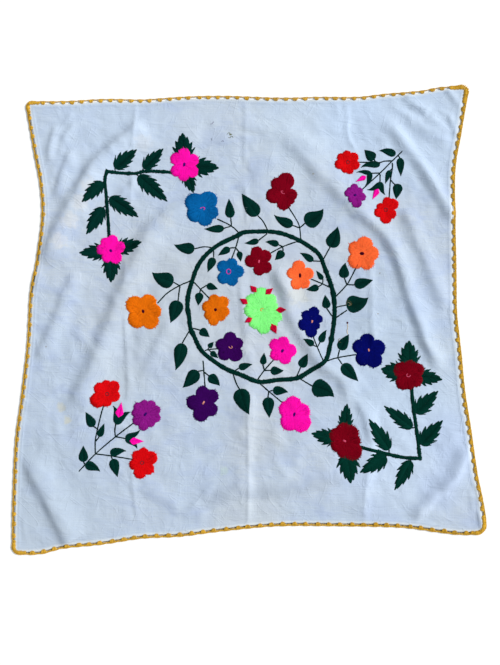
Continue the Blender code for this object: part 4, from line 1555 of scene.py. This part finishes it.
# %% Thin stems
# Each row is one line of stem stitch through its points.
THIN_STEMS = [
    # outside the ring
    [(-22, 180), (-39, 196), (-72, 213)], [(-39, 196), (-41, 216)], [(-39, 196), (-57, 191)],
    [(42, 187), (32, 207), (20, 220)], [(117, 162), (114, 195), (106, 213), (87, 244)],
    [(114, 192), (98, 198)], [(114, 192), (128, 204)], [(165, 117), (183, 149)],
    [(193, 35), (219, 63), (230, 82), (244, 109)], [(219, 63), (213, 80)], [(219, 63), (237, 62)],
    [(190, 10), (200, 14), (218, 17)], [(191, -13), (200, -7), (219, 6)],
    [(170, -108), (196, -100), (238, -93)], [(196, -100), (201, -82)], [(196, -100), (206, -115)],
    [(110, -145), (141, -163)], [(22, -155), (44, -174), (74, -199)], [(44, -174), (53, -172)],
    [(44, -174), (42, -188)], [(-35, -134), (-28, -156), (-20, -170)],
    [(-101, -106), (-99, -131), (-96, -167)], [(-99, -128), (-113, -130)], [(-99, -131), (-87, -141)],
    [(-131, -38), (-148, -68)], [(-130, 72), (-155, 61), (-181, 45), (-204, 21)], [(-155, 61), (-169, 69)],
    [(-154, 61), (-158, 26)], [(-80, 146), (-99, 149), (-123, 144)],
    # inside the ring
    [(-22, 174), (-29, 148), (-40, 118)], [(-30, 147), (-43, 146)], [(-30, 147), (-22, 137)],
    [(42, 179), (21, 163)], [(112, 162), (76, 149), (46, 133)], [(76, 149), (66, 154)],
    [(76, 149), (77, 139)], [(162, 116), (143, 117)], [(183, 56), (165, 65), (139, 76)],
    [(165, 65), (166, 76)], [(165, 65), (155, 58)], [(186, -9), (173, 11)],
    [(164, -108), (151, -77), (141, -50)], [(151, -77), (142, -72)], [(151, -77), (158, -65)],
    [(105, -143), (115, -120)], [(18, -150), (34, -128), (59, -100)], [(34, -128), (31, -114)],
    [(34, -128), (49, -128)], [(-35, -132), (-22, -123)], [(-98, -84), (-88, -82), (-68, -80)],
    [(-92, -83), (-88, -77)], [(-90, -82), (-83, -88)], [(-125, -34), (-108, -39)],
    [(-124, 70), (-108, 53), (-84, 28)], [(-108, 53), (-94, 62)], [(-108, 53), (-110, 44)],
    [(-79, 141), (-79, 124)],
    # upper right spray
    [(349, 369), (325, 346), (297, 318), (255, 279)], [(325, 347), (305, 346), (297, 343), (247, 344)],
    [(326, 343), (326, 330), (321, 301), (317, 257)], [(297, 319), (275, 318)], [(298, 317), (297, 294)],
    [(326, 329), (319, 323)], [(321, 304), (330, 293), (339, 290)], [(288, 344), (284, 352)],
    [(340, 360), (344, 352)], [(298, 343), (296, 337)],
    # lower left spray
    [(-371, -348), (-335, -310), (-292, -273), (-250, -241)],
    [(-335, -310), (-336, -284), (-332, -257), (-319, -204)], [(-335, -310), (-303, -314), (-254, -322)],
    [(-292, -273), (-294, -260), (-291, -243)], [(-292, -273), (-269, -277)], [(-332, -256), (-342, -249)],
    [(-335, -283), (-327, -272)], [(-357, -334), (-361, -326)], [(-300, -314), (-301, -309)],
    [(-301, -314), (-298, -322)],
    # short stalks of the toothed leaves
    [(-258, 318), (-251, 312)], [(-303, 320), (-304, 330)], [(-245, 319), (-239, 330)],
    [(-325, 303), (-331, 296)], [(-321, 265), (-314, 261)], [(-321, 244), (-330, 238)],
    [(362, -226), (367, -220)], [(367, -252), (357, -254)], [(370, -290), (377, -289)],
    [(306, -310), (307, -300)], [(298, -308), (300, -316)], [(351, -317), (354, -326)],
]
STEM_OVER = 0.15
for points in THIN_STEMS:
    stem_stitch(work_in("stem_green"), points, STEM_OVER)
print(len(THIN_STEMS), "thin stems")

# %% [markdown]
# ### Loose ends
# A cloth that has been used has a few loose bits of thread: a pale curl on a leaf at the right, a short
# straight end beside it, and small curls near the top. They are thin yarn laid on the cloth in small bends.

# %% Loose thread ends
# Yarn, width in mm, points.
LOOSE_ENDS = [
    ("pale_tan", 1.5, [(219, -25), (220, -33), (218, -40), (219, -48)]),
    ("dark_wine", 3.6, [(219, -20), (219, -25)]),
    ("straw", 0.9, [(204, -57), (199, -59), (199, -65), (205, -67)]),
    ("straw", 1.0,
     [(217, 24), (222, 27), (228, 24), (229, 18), (224, 15), (218, 17), (217, 22), (221, 24), (225, 21)]),
    ("pale_tan", 0.7, [(218, 20), (222, 23), (226, 21), (226, 17), (222, 16), (219, 18)]),
    ("olive", 0.9, [(-50, 408), (-47, 412), (-44, 413), (-43, 409), (-40, 407), (-38, 410)]),
    ("olive", 0.9, [(-47, 402), (-43, 400), (-41, 404), (-38, 405), (-36, 401)]),
    ("mauve_grey", 0.8, [(-81, 440), (-81, 437), (-84, 434), (-88, 433)]),
    ("mauve_grey", 0.6, [(-86, 400), (-84, 397), (-84, 394)]),
    ("mauve_grey", 0.6, [(-62, 391), (-59, 395), (-57, 391)]),
]
for yarn, width, points in LOOSE_ENDS:
    stem_stitch(work_in(yarn), points, STEM_OVER, width, step=2.0)
print(len(LOOSE_ENDS), "loose ends")

# %% [markdown]
# ### Yarn colours
# Dyed yarn of this kind is very bright. Each colour is given as it is seen on a screen and turned into the
# linear numbers that the shader takes. One piece is made for each yarn, so each can be dyed again on its
# own.

# %% Make the pieces of embroidery
YARN_COLOURS = {
    "pink": (255, 14, 172), "red": (214, 8, 15), "deep_red": (124, 0, 22), "dark_red": (126, 0, 24),
    "purple": (142, 24, 134), "violet": (55, 3, 86), "navy": (2, 8, 99), "blue": (4, 96, 161),
    "coral": (255, 110, 56), "amber": (224, 111, 8), "neon_green": (140, 255, 138), "crimson": (196, 8, 54),
    "dark_green": (0, 46, 40), "spray_green": (0, 46, 40), "leaf_green": (0, 51, 42),
    "stem_green": (2, 34, 30), "bright_pink": (235, 50, 170), "pale_pink": (225, 90, 125),
    "mauve_grey": (134, 124, 154), "dark_wine": (70, 0, 30), "peach": (226, 148, 132),
    "grey": (110, 40, 50), "orange": (240, 150, 60), "olive": (110, 114, 60), "dark_violet": (64, 12, 110),
    "straw": (140, 120, 70), "pale_tan": (222, 200, 165),
}
embroidery = []
for yarn in sorted(yarns):
    finish = yarn_finish("yarn_" + yarn, YARN_COLOURS[yarn])
    embroidery.append(yarns[yarn].piece("stitches_" + yarn, finish))
print(len(embroidery), "pieces of embroidery")

# %% [markdown]
# ## Tie the pieces to the part
# The part is one body, so every piece rides on it. The sheet and the crochet stand for the plain solids,
# which are then hidden.

# %% Ride and replace
for piece in [cloth, edging] + embroidery:
    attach(piece, "root")
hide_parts("ground_cloth")
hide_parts("crochet_edging")
